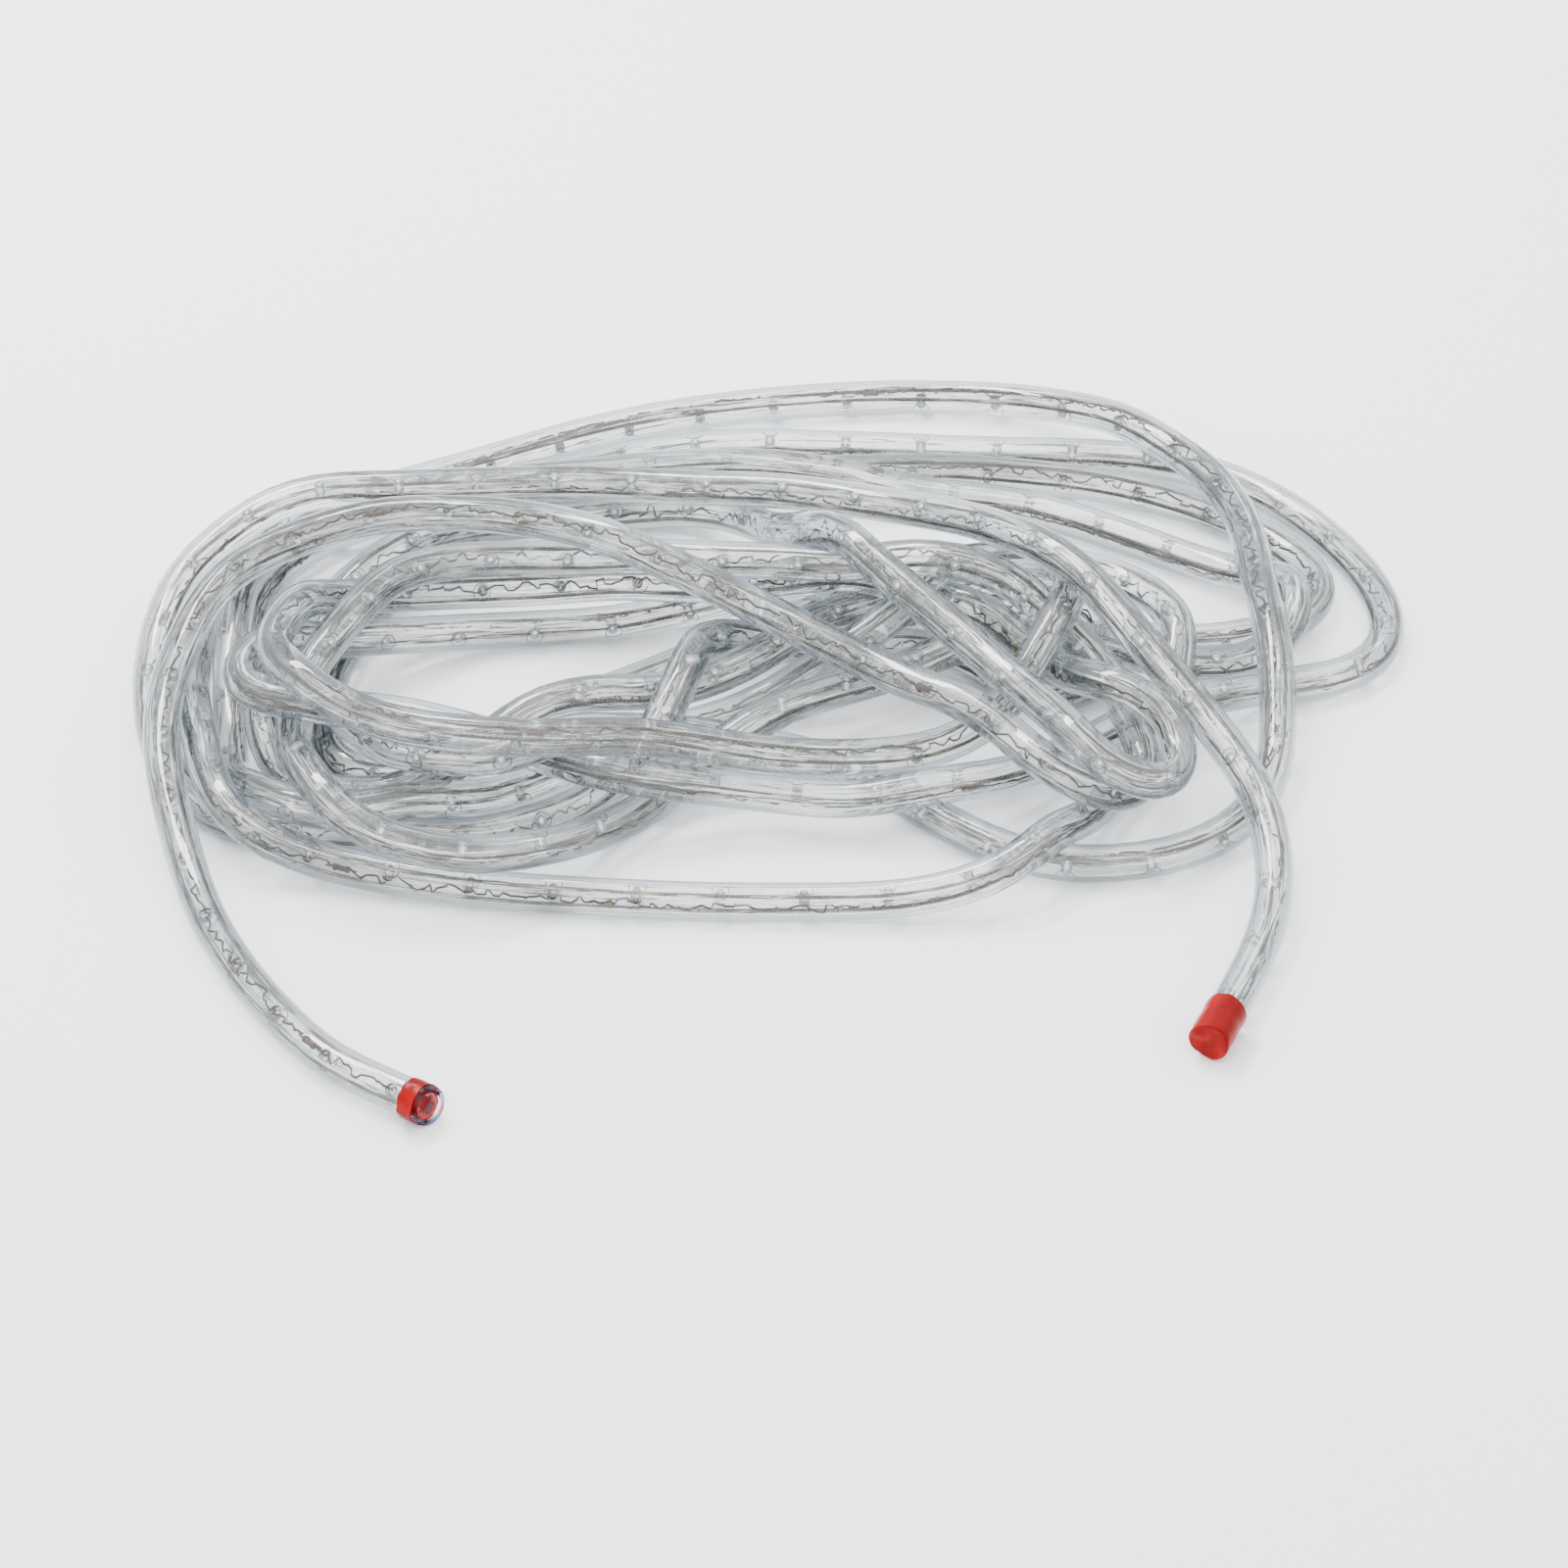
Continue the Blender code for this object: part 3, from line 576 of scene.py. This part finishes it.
def section_place(tree):
    """A point's place in the rope's section and along the rope."""
    return add_node(tree, "ShaderNodeAttribute", attribute_name="section").outputs["Vector"]


def parts_of(tree, vector):
    split = add_node(tree, "ShaderNodeSeparateXYZ", {"Vector": vector})
    return [split.outputs[axis] for axis in "XYZ"]


def along_rope(tree, across, along):
    """Coordinates that follow the rope, so that a pattern stretches into streaks along it."""
    node = add_node(tree, "ShaderNodeVectorMath", {0: section_place(tree), 1: (across, across, along)},
                    operation="MULTIPLY")
    return node.outputs["Vector"]


def noise_at(tree, vector, detail=3.0, roughness=0.55, scale=1.0):
    node = add_node(tree, "ShaderNodeTexNoise",
                    {"Vector": vector, "Scale": scale, "Detail": detail, "Roughness": roughness})
    return node.outputs["Fac"]


def bump_from(tree, height, strength, distance):
    node = add_node(tree, "ShaderNodeBump",
                    {"Height": height, "Strength": strength, "Distance": distance})
    return node.outputs["Normal"]


def clear_jacket_material():
    """Clear PVC: a faint bluish tint of its own, with painted shade that deepens to near black where it is
    seen edge-on; glossy, and open to the lamps.
    """
    material, tree = node_material("clear_pvc_jacket")
    # Painted shade: the colour darkens with the viewing angle, from clear in the middle to near black at
    # the edges, for the darker surroundings refracted there
    clear = ramp(tree, facing_away(tree),
                 [(0.0, (0.90, 0.915, 0.91)), (0.25, (0.85, 0.87, 0.865)),
                  (0.36, (0.47, 0.52, 0.56)), (0.70, (0.41, 0.465, 0.52)),
                  (0.86, (0.16, 0.19, 0.235)), (1.0, (0.03, 0.035, 0.05))])
    # The first end's cut face has painted coloured reflections on its ring: red from the tape and bluish
    # from the surroundings
    place = section_place(tree)
    x, y, s = parts_of(tree, place)
    patches = noise_at(tree, place, scale=160.0, detail=1.0)
    painted_ring_reflection = ramp(tree, patches, [(0.44, (0.50, 0.08, 0.11)), (0.53, (0.22, 0.30, 0.62))])
    on_ring = step_between(tree, reach_of(tree, x, y), BORE_RADIUS, BORE_RADIUS + 0.1 * MM)
    cut_face = mixed_colour(tree, on_ring, (0.98, 0.98, 0.98, 1.0), painted_ring_reflection)
    past_cut = step_between(tree, s, 0.5 * MM, 1.2 * MM)
    waves = bump_from(tree, noise_at(tree, along_rope(tree, 700.0, 8.0), detail=2.0), 0.15, 0.0003)
    skin = add_node(tree, "ShaderNodeBsdfPrincipled",
                    {"Base Color": mixed_colour(tree, past_cut, cut_face, clear),
                     "Roughness": 0.03, "IOR": 1.10, "Transmission Weight": 1.0,
                     "Coat Weight": 1.0, "Coat Roughness": 0.03, "Coat IOR": 1.5,
                     "Normal": waves, "Coat Normal": waves})
    # No coat at the cut, and a trace of haze past it
    tree.links.new(past_cut, skin.inputs["Coat Weight"])
    tree.links.new(math_node(tree, "MULTIPLY_ADD", past_cut, -0.02, 1.0),
                   skin.inputs["Transmission Weight"])
    open_to_lamps = add_node(tree, "ShaderNodeBsdfTransparent", {"Color": (0.93, 0.94, 0.95, 1.0)})
    path = add_node(tree, "ShaderNodeLightPath")
    mix = add_node(tree, "ShaderNodeMixShader",
                   {"Fac": path.outputs["Is Shadow Ray"], 1: skin.outputs["BSDF"],
                    2: open_to_lamps.outputs["BSDF"]})
    return with_surface(material, mix)


def milky_core_material():
    """Core PVC: a clear rod with milky streaks, painted white glints and thin dark lines among them, a
    drilled hole for each LED, and red near the tape.
    """
    material, tree = node_material("core_pvc_milky")
    x, y, s = parts_of(tree, section_place(tree))

    fine = noise_at(tree, along_rope(tree, 1100.0, 38.0), detail=4.0, roughness=0.75)
    broad = noise_at(tree, along_rope(tree, 260.0, 9.0), detail=1.0)
    streaks = math_node(tree, "MULTIPLY_ADD", fine, 0.70, math_node(tree, "MULTIPLY", broad, 0.30))
    # Milky streaks from grey to white, where the whitest are also painted glints, and near-black thin
    # lines at the low end
    colour = ramp(tree, streaks, [(0.40, (0.014, 0.015, 0.014)), (0.435, (0.14, 0.15, 0.148)),
                                  (0.545, (0.38, 0.40, 0.39)), (0.58, (0.93, 0.93, 0.89))])
    haze = ramp(tree, streaks, [(0.40, (0.85,) * 3), (0.43, (0.06,) * 3), (0.55, (0.08,) * 3),
                                (0.58, (0.85,) * 3)])
    grazing = math_node(tree, "MULTIPLY", step_between(tree, facing_away(tree), 0.45, 0.95), 0.30)
    haze = math_node(tree, "ADD", haze, grazing)

    # The drilled holes: clearer inside, with painted dark shade on a rim around each
    past_led = math_node(tree, "SUBTRACT", math_node(tree, "FLOORED_MODULO", s, LED_PITCH), LED_PITCH / 2)
    radius = reach_of(tree, past_led, y)
    led_side = step_between(tree, x, -0.5 * MM, 0.5 * MM)
    outside = step_between(tree, radius, LED_HOLE - 0.25 * MM, LED_HOLE)
    past_rim = step_between(tree, radius, LED_HOLE + 0.20 * MM, LED_HOLE + 0.45 * MM)
    rim = math_node(tree, "MULTIPLY", led_side, math_node(tree, "SUBTRACT", outside, past_rim))
    inside = math_node(tree, "MULTIPLY", led_side, math_node(tree, "SUBTRACT", 1.0, outside))
    clearer = math_node(tree, "SUBTRACT", 1.0, math_node(tree, "MULTIPLY", inside, 0.8))
    alpha = math_node(tree, "MULTIPLY_ADD", rim, 0.60, math_node(tree, "MULTIPLY", haze, clearer))
    # Painted shade: the rim's near-black colour stands for the hole's edge seen through the clear rod
    colour = mixed_colour(tree, rim, colour, (0.02, 0.022, 0.025, 1.0))

    # Red light from the tape, and painted dark shade for the hollow that shows on the cut face
    under_tape = math_node(tree, "SUBTRACT", 1.0, step_between(tree, s, 6.0 * MM, 11.0 * MM))
    colour = mixed_colour(tree, under_tape, colour, (0.30, 0.004, 0.006, 1.0))
    alpha = math_node(tree, "MAXIMUM", alpha, math_node(tree, "MULTIPLY", under_tape, 0.95))
    across = math_node(tree, "DIVIDE", math_node(tree, "SUBTRACT", x, 1.4 * MM), 1.8 * MM)
    painted_hollow_reach = squares_added(tree, across, math_node(tree, "DIVIDE", y, 2.6 * MM))
    away = math_node(tree, "MAXIMUM", step_between(tree, painted_hollow_reach, 0.8, 1.1),
                     step_between(tree, s, 0.8 * MM, 1.6 * MM))
    # Painted shade: a dark red patch on the flat cut face stands in for the hollow's shade
    colour = mixed_colour(tree, away, (0.05, 0.001, 0.001, 1.0), colour)

    body = add_node(tree, "ShaderNodeBsdfPrincipled",
                    {"Base Color": colour, "Alpha": alpha, "Roughness": 0.14,
                     "Normal": bump_from(tree, fine, 0.8, 0.0006)})
    return with_surface(material, body)


def grainy_material(name, low, high, roughness, scale=900.0, coat=0.0):
    """An opaque finish that varies between two colours."""
    material, tree = node_material(name)
    grain = noise_at(tree, object_place(tree), detail=4.0, scale=scale)
    rough = add_node(tree, "ShaderNodeMapRange",
                     {"Value": grain, "To Min": roughness * 0.8, "To Max": roughness * 1.25})
    body = add_node(tree, "ShaderNodeBsdfPrincipled",
                    {"Base Color": ramp(tree, grain, [(0.35, low), (0.65, high)]),
                     "Roughness": rough.outputs["Result"], "Specular IOR Level": 0.25,
                     "Coat Weight": coat, "Coat Roughness": 0.08,
                     "Normal": bump_from(tree, grain, 0.2, 0.0002)})
    return with_surface(material, body)


def stranded_wire_material():
    """Tinned copper strands, dulled and browned here and there, with painted highlights on their crests
    and painted shade between them.
    """
    material, tree = node_material("tinned_strands")
    x, y = parts_of(tree, section_place(tree))[:2]
    dx = math_node(tree, "SUBTRACT", x, WIRE_PLACE[0])
    dy = math_node(tree, "SUBTRACT", math_node(tree, "ABSOLUTE", y), WIRE_PLACE[1])
    painted_crest_light = step_between(tree, reach_of(tree, dx, dy), WIRE_RADIUS * 0.74, WIRE_RADIUS * 0.96)
    patches = noise_at(tree, along_rope(tree, 300.0, 60.0), detail=4.0)
    # Painted highlight on the crests and painted shade off them, with patches of random tone on top
    shade = math_node(tree, "MULTIPLY_ADD", painted_crest_light, 0.16, math_node(tree, "SUBTRACT", patches, 0.08))
    colour = ramp(tree, shade, [(0.40, (0.010, 0.008, 0.006)), (0.50, (0.060, 0.050, 0.038)),
                                (0.60, (0.42, 0.39, 0.32))])
    body = add_node(tree, "ShaderNodeBsdfPrincipled",
                    {"Base Color": colour, "Metallic": 0.35, "Roughness": 0.38})
    return with_surface(material, body)


def led_lens_material():
    """Clear epoxy of an LED: a painted highlight in the middle, and painted dark shade where it is seen
    edge-on.
    """
    material, tree = node_material("led_epoxy")
    grain = noise_at(tree, object_place(tree), scale=600.0)
    mixed = math_node(tree, "MULTIPLY_ADD", grain, 0.35, facing_away(tree))
    # Painted light: white highlight where the lens faces the camera, then a dark ring, grey, and
    # near-black shade at the edges
    colour = ramp(tree, mixed, [(0.22, (0.97, 0.98, 0.98)), (0.32, (0.02, 0.022, 0.025)),
                                (0.50, (0.62, 0.65, 0.66)), (0.80, (0.004, 0.005, 0.007))])
    alpha = ramp(tree, mixed, [(0.20, (0.85,) * 3), (0.33, (0.95,) * 3), (0.52, (0.50,) * 3),
                               (0.82, (1.0,) * 3)])
    body = add_node(tree, "ShaderNodeBsdfPrincipled",
                    {"Base Color": colour, "Alpha": alpha, "Roughness": 0.08,
                     "Coat Weight": 1.0, "Coat Roughness": 0.03})
    return with_surface(material, body)


def banded_resistor_material():
    """A tan resistor body with plain colour bands around it."""
    material, tree = node_material("resistor_banded")
    place = section_place(tree)
    height = parts_of(tree, place)[2]
    wobble = noise_at(tree, place, scale=1500.0)
    along = math_node(tree, "MULTIPLY_ADD", height, 1.0 / RESISTOR_LENGTH, 0.5)
    along = math_node(tree, "MULTIPLY_ADD", wobble, 0.03, math_node(tree, "SUBTRACT", along, 0.015))
    end = (0.060, 0.028, 0.015)
    tan = (0.085, 0.040, 0.022)
    bands = ramp(tree, along, [(0.0, end), (0.16, (0.020, 0.002, 0.002)), (0.26, tan),
                               (0.36, (0.004, 0.002, 0.002)), (0.46, tan),
                               (0.55, (0.028, 0.003, 0.002)), (0.65, tan),
                               (0.78, (0.010, 0.005, 0.003)), (0.88, end)], stepped=True)
    body = add_node(tree, "ShaderNodeBsdfPrincipled",
                    {"Base Color": bands, "Roughness": 0.4, "Specular IOR Level": 0.2,
                     "Normal": bump_from(tree, wobble, 0.3, 0.0001)})
    return with_surface(material, body)


def red_tape_material():
    """Glossy red tape, with lighter stripes along it and none on the folded end."""
    material, tree = node_material("red_tape_gloss")
    x, y = (math_node(tree, "MULTIPLY", part, 1.0 / ROPE_DIAMETER)
            for part in parts_of(tree, section_place(tree))[:2])
    turn = math_node(tree, "ARCTAN2", y, x)
    stripe = math_node(tree, "SINE", math_node(tree, "MULTIPLY_ADD", turn, 2.0, 0.6))
    stripe = math_node(tree, "MULTIPLY", stripe, step_between(tree, reach_of(tree, x, y), 0.40, 0.50))
    cloud = noise_at(tree, along_rope(tree, 160.0, 60.0))
    mixed = math_node(tree, "MULTIPLY_ADD", stripe, 0.22, cloud)
    colour = ramp(tree, mixed, [(0.30, (0.15, 0.0002, 0.0004)), (0.50, (0.205, 0.0003, 0.0006)),
                                (0.68, (0.29, 0.003, 0.004))])
    body = add_node(tree, "ShaderNodeBsdfPrincipled",
                    {"Base Color": colour, "Roughness": 0.35, "Specular IOR Level": 0.06,
                     "Coat Weight": 0.07, "Coat Roughness": 0.10,
                     "Normal": bump_from(tree, cloud, 0.3, 0.0003)})
    return with_surface(material, body)


def core_outline():
    """A round rod with an undercut channel open towards -x."""
    mouth = CHANNEL_MOUTH / 2
    pocket = CHANNEL_WIDTH / 2
    opening = math.pi - math.asin(mouth / CORE_RADIUS)
    arc = np.linspace(-opening, opening, 17)
    rim = [(CORE_RADIUS * math.cos(a), CORE_RADIUS * math.sin(a)) for a in arc]
    upper = [(CHANNEL_LIP, mouth), (CHANNEL_LIP, pocket), (0.0, pocket), (0.0, 0.0)]
    return rim + upper + [(x, -y) for x, y in reversed(upper[:3])]


def strand_outline(stations, side):
    """Bus wire: a bundle of strands, drawn as lobes that turn along the wire."""
    corners = 2 * WIRE_LOBES
    a = np.arange(corners) * math.pi / WIRE_LOBES
    turn = 2 * math.pi * np.asarray(stations)[:, None] / WIRE_LAY
    radius = WIRE_RADIUS * np.where(np.arange(corners) % 2 == 0, 1.0, LOBE_VALLEY)[None]
    x = WIRE_PLACE[0] + radius * np.cos(a[None] + turn)
    y = side * WIRE_PLACE[1] + radius * np.sin(a[None] + turn)
    return np.stack([x, y], axis=2)


def make_jacket(rope, material):
    """The jacket's outer skin, with a shallow bore at each cut end where the core shows."""
    bore = [(BORE_MIDDLE, END_BORE), (BORE_RADIUS, END_BORE), (BORE_RADIUS, 0.0)]
    rings = bore + [(ROPE_DIAMETER / 2, s) for s in rope.stations(SKIN_SAG, SKIN_STEP)]
    rings += [(radius, rope.length - s) for radius, s in reversed(bore)]
    rows = [circle(radius, JACKET_SIDES) for radius, s in rings]
    return sweep(rope, "rope_jacket", rows, [s for radius, s in rings], material, sharp=60.0)


def make_leds(rope, lens, metal):
    """LEDs set across the core, with a reflector cup and two posts in each."""
    lenses, cups = Builder(), Builder()
    draw = np.random.default_rng(LED_SEED)
    r = LED_RADIUS
    lens_profile = [(r * 1.12, 0.0), (r * 1.12, 0.5 * MM), (r, 0.6 * MM), (r, 3.0 * MM),
                    (r * 0.86, 3.7 * MM), (r * 0.5, 4.15 * MM), (r * 0.12, 4.3 * MM)]
    cup_profile = [(0.35 * MM, 0.0), (0.8 * MM, 0.9 * MM), (0.45 * MM, 0.8 * MM)]
    for k in range(int(rope.length / LED_PITCH)):
        centre, x, y = (v[0] for v in rope.at([(k + 0.5) * LED_PITCH]))
        tilt = draw.normal(0.0, LED_TILT, 2)
        ahead = np.cross(x, y)
        axis = x + tilt[0] * ahead + tilt[1] * y
        base = centre - x * 0.3 * MM
        lenses.lathe(base, axis, lens_profile, LED_SIDES)
        cups.lathe(base + axis * 0.8 * MM, axis, cup_profile, 8)
        for way in (-1, 1):
            foot = base + ahead * way * POST_ASIDE
            cups.lead([foot - axis * 0.9 * MM, foot + axis * 0.9 * MM])
    return lenses.piece("led_lenses", lens), cups.piece("led_posts", metal)


def make_leads(rope, metal):
    """Thin wavy leads in the channel from each LED to the next, with a loose kink here and there."""
    leads = Builder()
    draw = np.random.default_rng(LEAD_SEED)
    count = LEAD_POINTS
    for k in range(int(rope.length / LED_PITCH) - 1):
        start = (k + 0.5) * LED_PITCH + POST_ASIDE
        s = np.linspace(start, start + LED_PITCH - 2 * POST_ASIDE, count)
        kinks = draw.standard_t(2.5, count) * LEAD_KINK
        swing = np.clip(np.convolve(kinks, [0.2, 0.6, 0.2], mode="same"), -LEAD_REACH, LEAD_REACH)
        depth = -2.4 * MM + draw.uniform(-1.0, 1.0, count) * 0.5 * MM
        depth[0] = depth[-1] = -1.0 * MM
        s[1:-1] += draw.uniform(-1.3, 1.3, count - 2) * MM
        leads.lead(rope.place(np.stack([depth, swing, s], axis=1)))
    return leads.piece("led_leads", metal)


def make_solder(rope, material):
    """Yellow-brown solder joints on the bus wires, each with the end of a lead in it."""
    joints = Builder()
    draw = np.random.default_rng(SOLDER_SEED)
    run = np.linspace(0.0, 1.0, 5)
    for number, s in enumerate(SOLDER_AT):
        s = s if s > 0 else rope.length + s
        side = 1 if number % 2 else -1
        x, y = WIRE_PLACE[0] - 0.3 * MM, side * (WIRE_PLACE[1] - 0.6 * MM)
        for _ in range(3):
            size = draw.uniform(0.9, 1.45) * MM
            shift = draw.normal(0.0, 0.5, 3) * MM * np.array([0.5, 0.8, 1.6])
            base, tip = rope.place([(x + shift[0], y + shift[1], s + shift[2]),
                                    (x + shift[0] * 0.5, y - side * 0.4 * MM, s + shift[2] + 1.0 * MM)])
            profile = [(size * 0.35, -size * 0.95), (size * 0.85, -size * 0.5), (size, 0.1 * MM),
                       (size * 0.8, size * 0.6), (size * 0.3, size * 1.05)]
            joints.lathe(base, tip - base, profile, 9)
        ways = draw.uniform(-1.0, 1.0, (3, 5)) * MM
        lead = [x - 0.8 * MM * run + 0.3 * ways[0], y * (1.0 - run) + 0.5 * ways[1],
                s + 7.0 * MM * run + 0.5 * ways[2]]
        joints.lead(rope.place(np.stack(lead, axis=1)))
    return joints.piece("solder_joints", material)


def make_resistor(rope, name, s, material):
    """A dog-bone resistor body in the channel, with its two leads."""
    middle = rope.place([(-RESISTOR_DEPTH, 0.0, s)])[0]
    ahead = np.cross(*(v[0] for v in rope.at([s])[1:]))
    half = RESISTOR_LENGTH / 2
    r = RESISTOR_DIAMETER / 2
    profile = [(r * 0.25, -half), (r * 0.80, -half * 0.95), (r, -half * 0.80), (r * 0.97, -half * 0.58),
               (r * 0.80, -half * 0.45)]
    profile += [(radius, -height) for radius, height in reversed(profile)]
    build = Builder()
    build.lathe(middle, ahead, profile, RESISTOR_SIDES)
    for way in (-1, 1):
        build.lead([middle + ahead * way * reach for reach in (half, half + 1.2 * MM, half + 2.4 * MM)])
    heights = [(0.0, 0.0, float((v - middle) @ ahead)) for v in build.verts]
    return build.piece(name, material, heights)


def make_tape(rope, name, start, end, material, folded):
    """Red tape wound around an end: a lapped, slightly wavy band, closed over the cut if folded."""
    a = np.arange(TAPE_SIDES) * 2 * math.pi / TAPE_SIDES
    inner = ROPE_DIAMETER / 2 + 0.08 * MM
    outer = ROPE_DIAMETER / 2 + TAPE_THICKNESS + 0.12 * MM
    lap = 0.12 * MM * (a > 4.4) + 0.05 * MM * np.sin(7 * a)
    wave_start = 0.30 * MM * np.sin(3 * a + 0.7) + 0.15 * MM * np.sin(8 * a)
    # Each ring is its radius and its place along the rope, from the inside outwards
    if folded:
        wave_end = 1.3 * MM * (1 + np.sin(2 * a + 1.0)) / 2 + 0.5 * MM * (1 + np.sin(5 * a)) / 2
        rings = [(0.3 * MM, end + 0.15 * MM), (inner, end + 0.15 * MM + wave_end * 0.5)]
    else:
        wave_end = 0.30 * MM * np.sin(2 * a + 2.0) + 0.20 * MM * np.sin(9 * a + 1.0)
        rings = [(inner, end + wave_end)]
    rings.append((inner, start + wave_start))
    for t in np.linspace(0.0, 1.0, 9):
        ripple = 0.05 * MM * math.sin(11 * t + 1.0)
        seam = 0.16 * MM if 0.30 < t < 0.40 and folded else 0.0
        place = start + (end - start) * t + (1 - t) * wave_start + t * wave_end
        rings.append((outer - lap + ripple - seam, place))
    if folded:
        for share, rise in ((0.985, 0.25), (0.94, 0.5), (0.82, 0.65), (0.5, 0.55), (0.05, 0.65)):
            rings.append((outer * share, end + rise * MM + wave_end * share))
    around = circle(1.0, TAPE_SIDES)
    rows = [around * np.broadcast_to(radius, TAPE_SIDES)[:, None] for radius, place in rings]
    return sweep(rope, name, rows, [place for radius, place in rings], material, looped=not folded)


def white_floor():
    bpy.ops.mesh.primitive_plane_add(size=FLOOR_SIZE, location=(0.0, 0.0, 0.0))
    floor = bpy.context.object
    floor.name = "floor"
    material, tree = node_material("floor_white")
    body = add_node(tree, "ShaderNodeBsdfPrincipled",
                    {"Base Color": (0.97, 0.97, 0.97, 1.0), "Roughness": 0.9})
    floor.data.materials.append(with_surface(material, body))
    floor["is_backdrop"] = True


def soft_light():
    """White studio: a bright sky that darkens towards the horizon, and one wide lamp."""
    world = bpy.data.worlds.new("studio")
    bpy.context.scene.world = world
    world.use_nodes = True
    tree = world.node_tree
    place = add_node(tree, "ShaderNodeTexCoord")
    height = parts_of(tree, place.outputs["Generated"])[2]
    sky = ramp(tree, height, [(0.0, (0.42, 0.44, 0.47)), (0.35, (0.85, 0.87, 0.90)),
                              (0.75, (1.0, 1.0, 1.0))])
    background = tree.nodes["Background"]
    tree.links.new(sky, background.inputs["Color"])
    background.inputs["Strength"].default_value = SKY_STRENGTH
    data = bpy.data.lights.new("key", "AREA")
    data.shape = "RECTANGLE"
    data.size, data.size_y = LAMP_SIZE
    data.energy = LAMP_POWER
    lamp = bpy.data.objects.new("key", data)
    lamp.location = LAMP_PLACE
    lamp.rotation_euler = (-lamp.location).to_track_quat("-Z", "Y").to_euler()
    bpy.context.scene.collection.objects.link(lamp)


def aim_camera(target):
    data = bpy.data.cameras.new("camera")
    data.sensor_width = SENSOR
    data.lens = CAMERA_FOCAL
    data.clip_end = 50.0
    camera = bpy.data.objects.new("camera", data)
    tilt = math.radians(CAMERA_ELEVATION)
    camera.location = target + CAMERA_DISTANCE * Vector((0.0, -math.cos(tilt), math.sin(tilt)))
    camera.rotation_euler = (math.pi / 2 - tilt, 0.0, 0.0)
    bpy.context.scene.collection.objects.link(camera)
    bpy.context.scene.camera = camera


def main():
    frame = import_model()

    chosen = np.array([point for stretch in ROUTE.values() for point in stretch], float) * MM
    settled = settle(evenly(smooth_curve(chosen), ROUTE_STEP))
    # The route's origin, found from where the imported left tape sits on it
    first = Vector(settled[0])
    inward = (Vector(at_lengths(settled, [STRAIGHT_END])[0]) - first).normalized()
    tape_low, tape_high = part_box("end_tape_left")
    tape_middle = (Vector(tape_low) + Vector(tape_high)) / 2
    shift = tape_middle - first - inward * (LEFT_TAPE_SETBACK + LEFT_TAPE_LENGTH / 2)
    aim_camera(Vector(TARGET_IN_ROUTE) + shift)

    rope = Rope(smooth_curve(ease(settled, 3) + np.array(shift), per_span=4))

    jacket = make_jacket(rope, clear_jacket_material())
    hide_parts("jacket")

    from_end = END_BORE + CORE_SETBACK
    places = rope.stations(SKIN_SAG, SKIN_STEP, from_end, rope.length - from_end)
    core = sweep(rope, "rope_core", core_outline(), places, milky_core_material())
    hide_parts("core")

    strands = stranded_wire_material()
    places = rope.stations(WIRE_SAG, WIRE_STEP, from_end, rope.length - from_end)
    wires = []
    for side, label in ((1, "left"), (-1, "right")):
        wire = sweep(rope, "strands_" + label, strand_outline(places, side), places, strands)
        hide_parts("bus_wire_" + label)
        wires.append(wire)

    lead_metal = grainy_material("lead_steel", (0.002, 0.0015, 0.001), (0.012, 0.008, 0.006), 0.45)
    solder = grainy_material("solder_flux", (0.030, 0.016, 0.004), (0.20, 0.135, 0.045), 0.3,
                             scale=1500.0, coat=0.2)
    lenses, posts = make_leds(rope, led_lens_material(), lead_metal)
    leads = make_leads(rope, lead_metal)
    joints = make_solder(rope, solder)

    red = red_tape_material()
    left_tape = make_tape(rope, "red_band_left", LEFT_TAPE_SETBACK, LEFT_TAPE_SETBACK + LEFT_TAPE_LENGTH,
                          red, False)
    right_tape = make_tape(rope, "red_band_right", rope.length - RIGHT_TAPE_LENGTH, rope.length, red, True)
    for tape, node in ((left_tape, "end_tape_left"), (right_tape, "end_tape_right")):
        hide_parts(node)

    banded = banded_resistor_material()
    resistors = []
    for node in sorted(name for name in frame["nodes"] if name.startswith("resistor")):
        low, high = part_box(node)
        s = rope.nearest((np.array(low) + np.array(high)) / 2)
        resistor = make_resistor(rope, node.replace("resistor", "banded"), s, banded)
        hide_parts(node)
        resistors.append(resistor)

    pieces = [core, lenses, posts, leads, joints] + wires + [left_tape, right_tape] + resistors
    for piece in [jacket] + pieces:
        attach(piece, "root")

    white_floor()
    soft_light()

    low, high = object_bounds()


main()
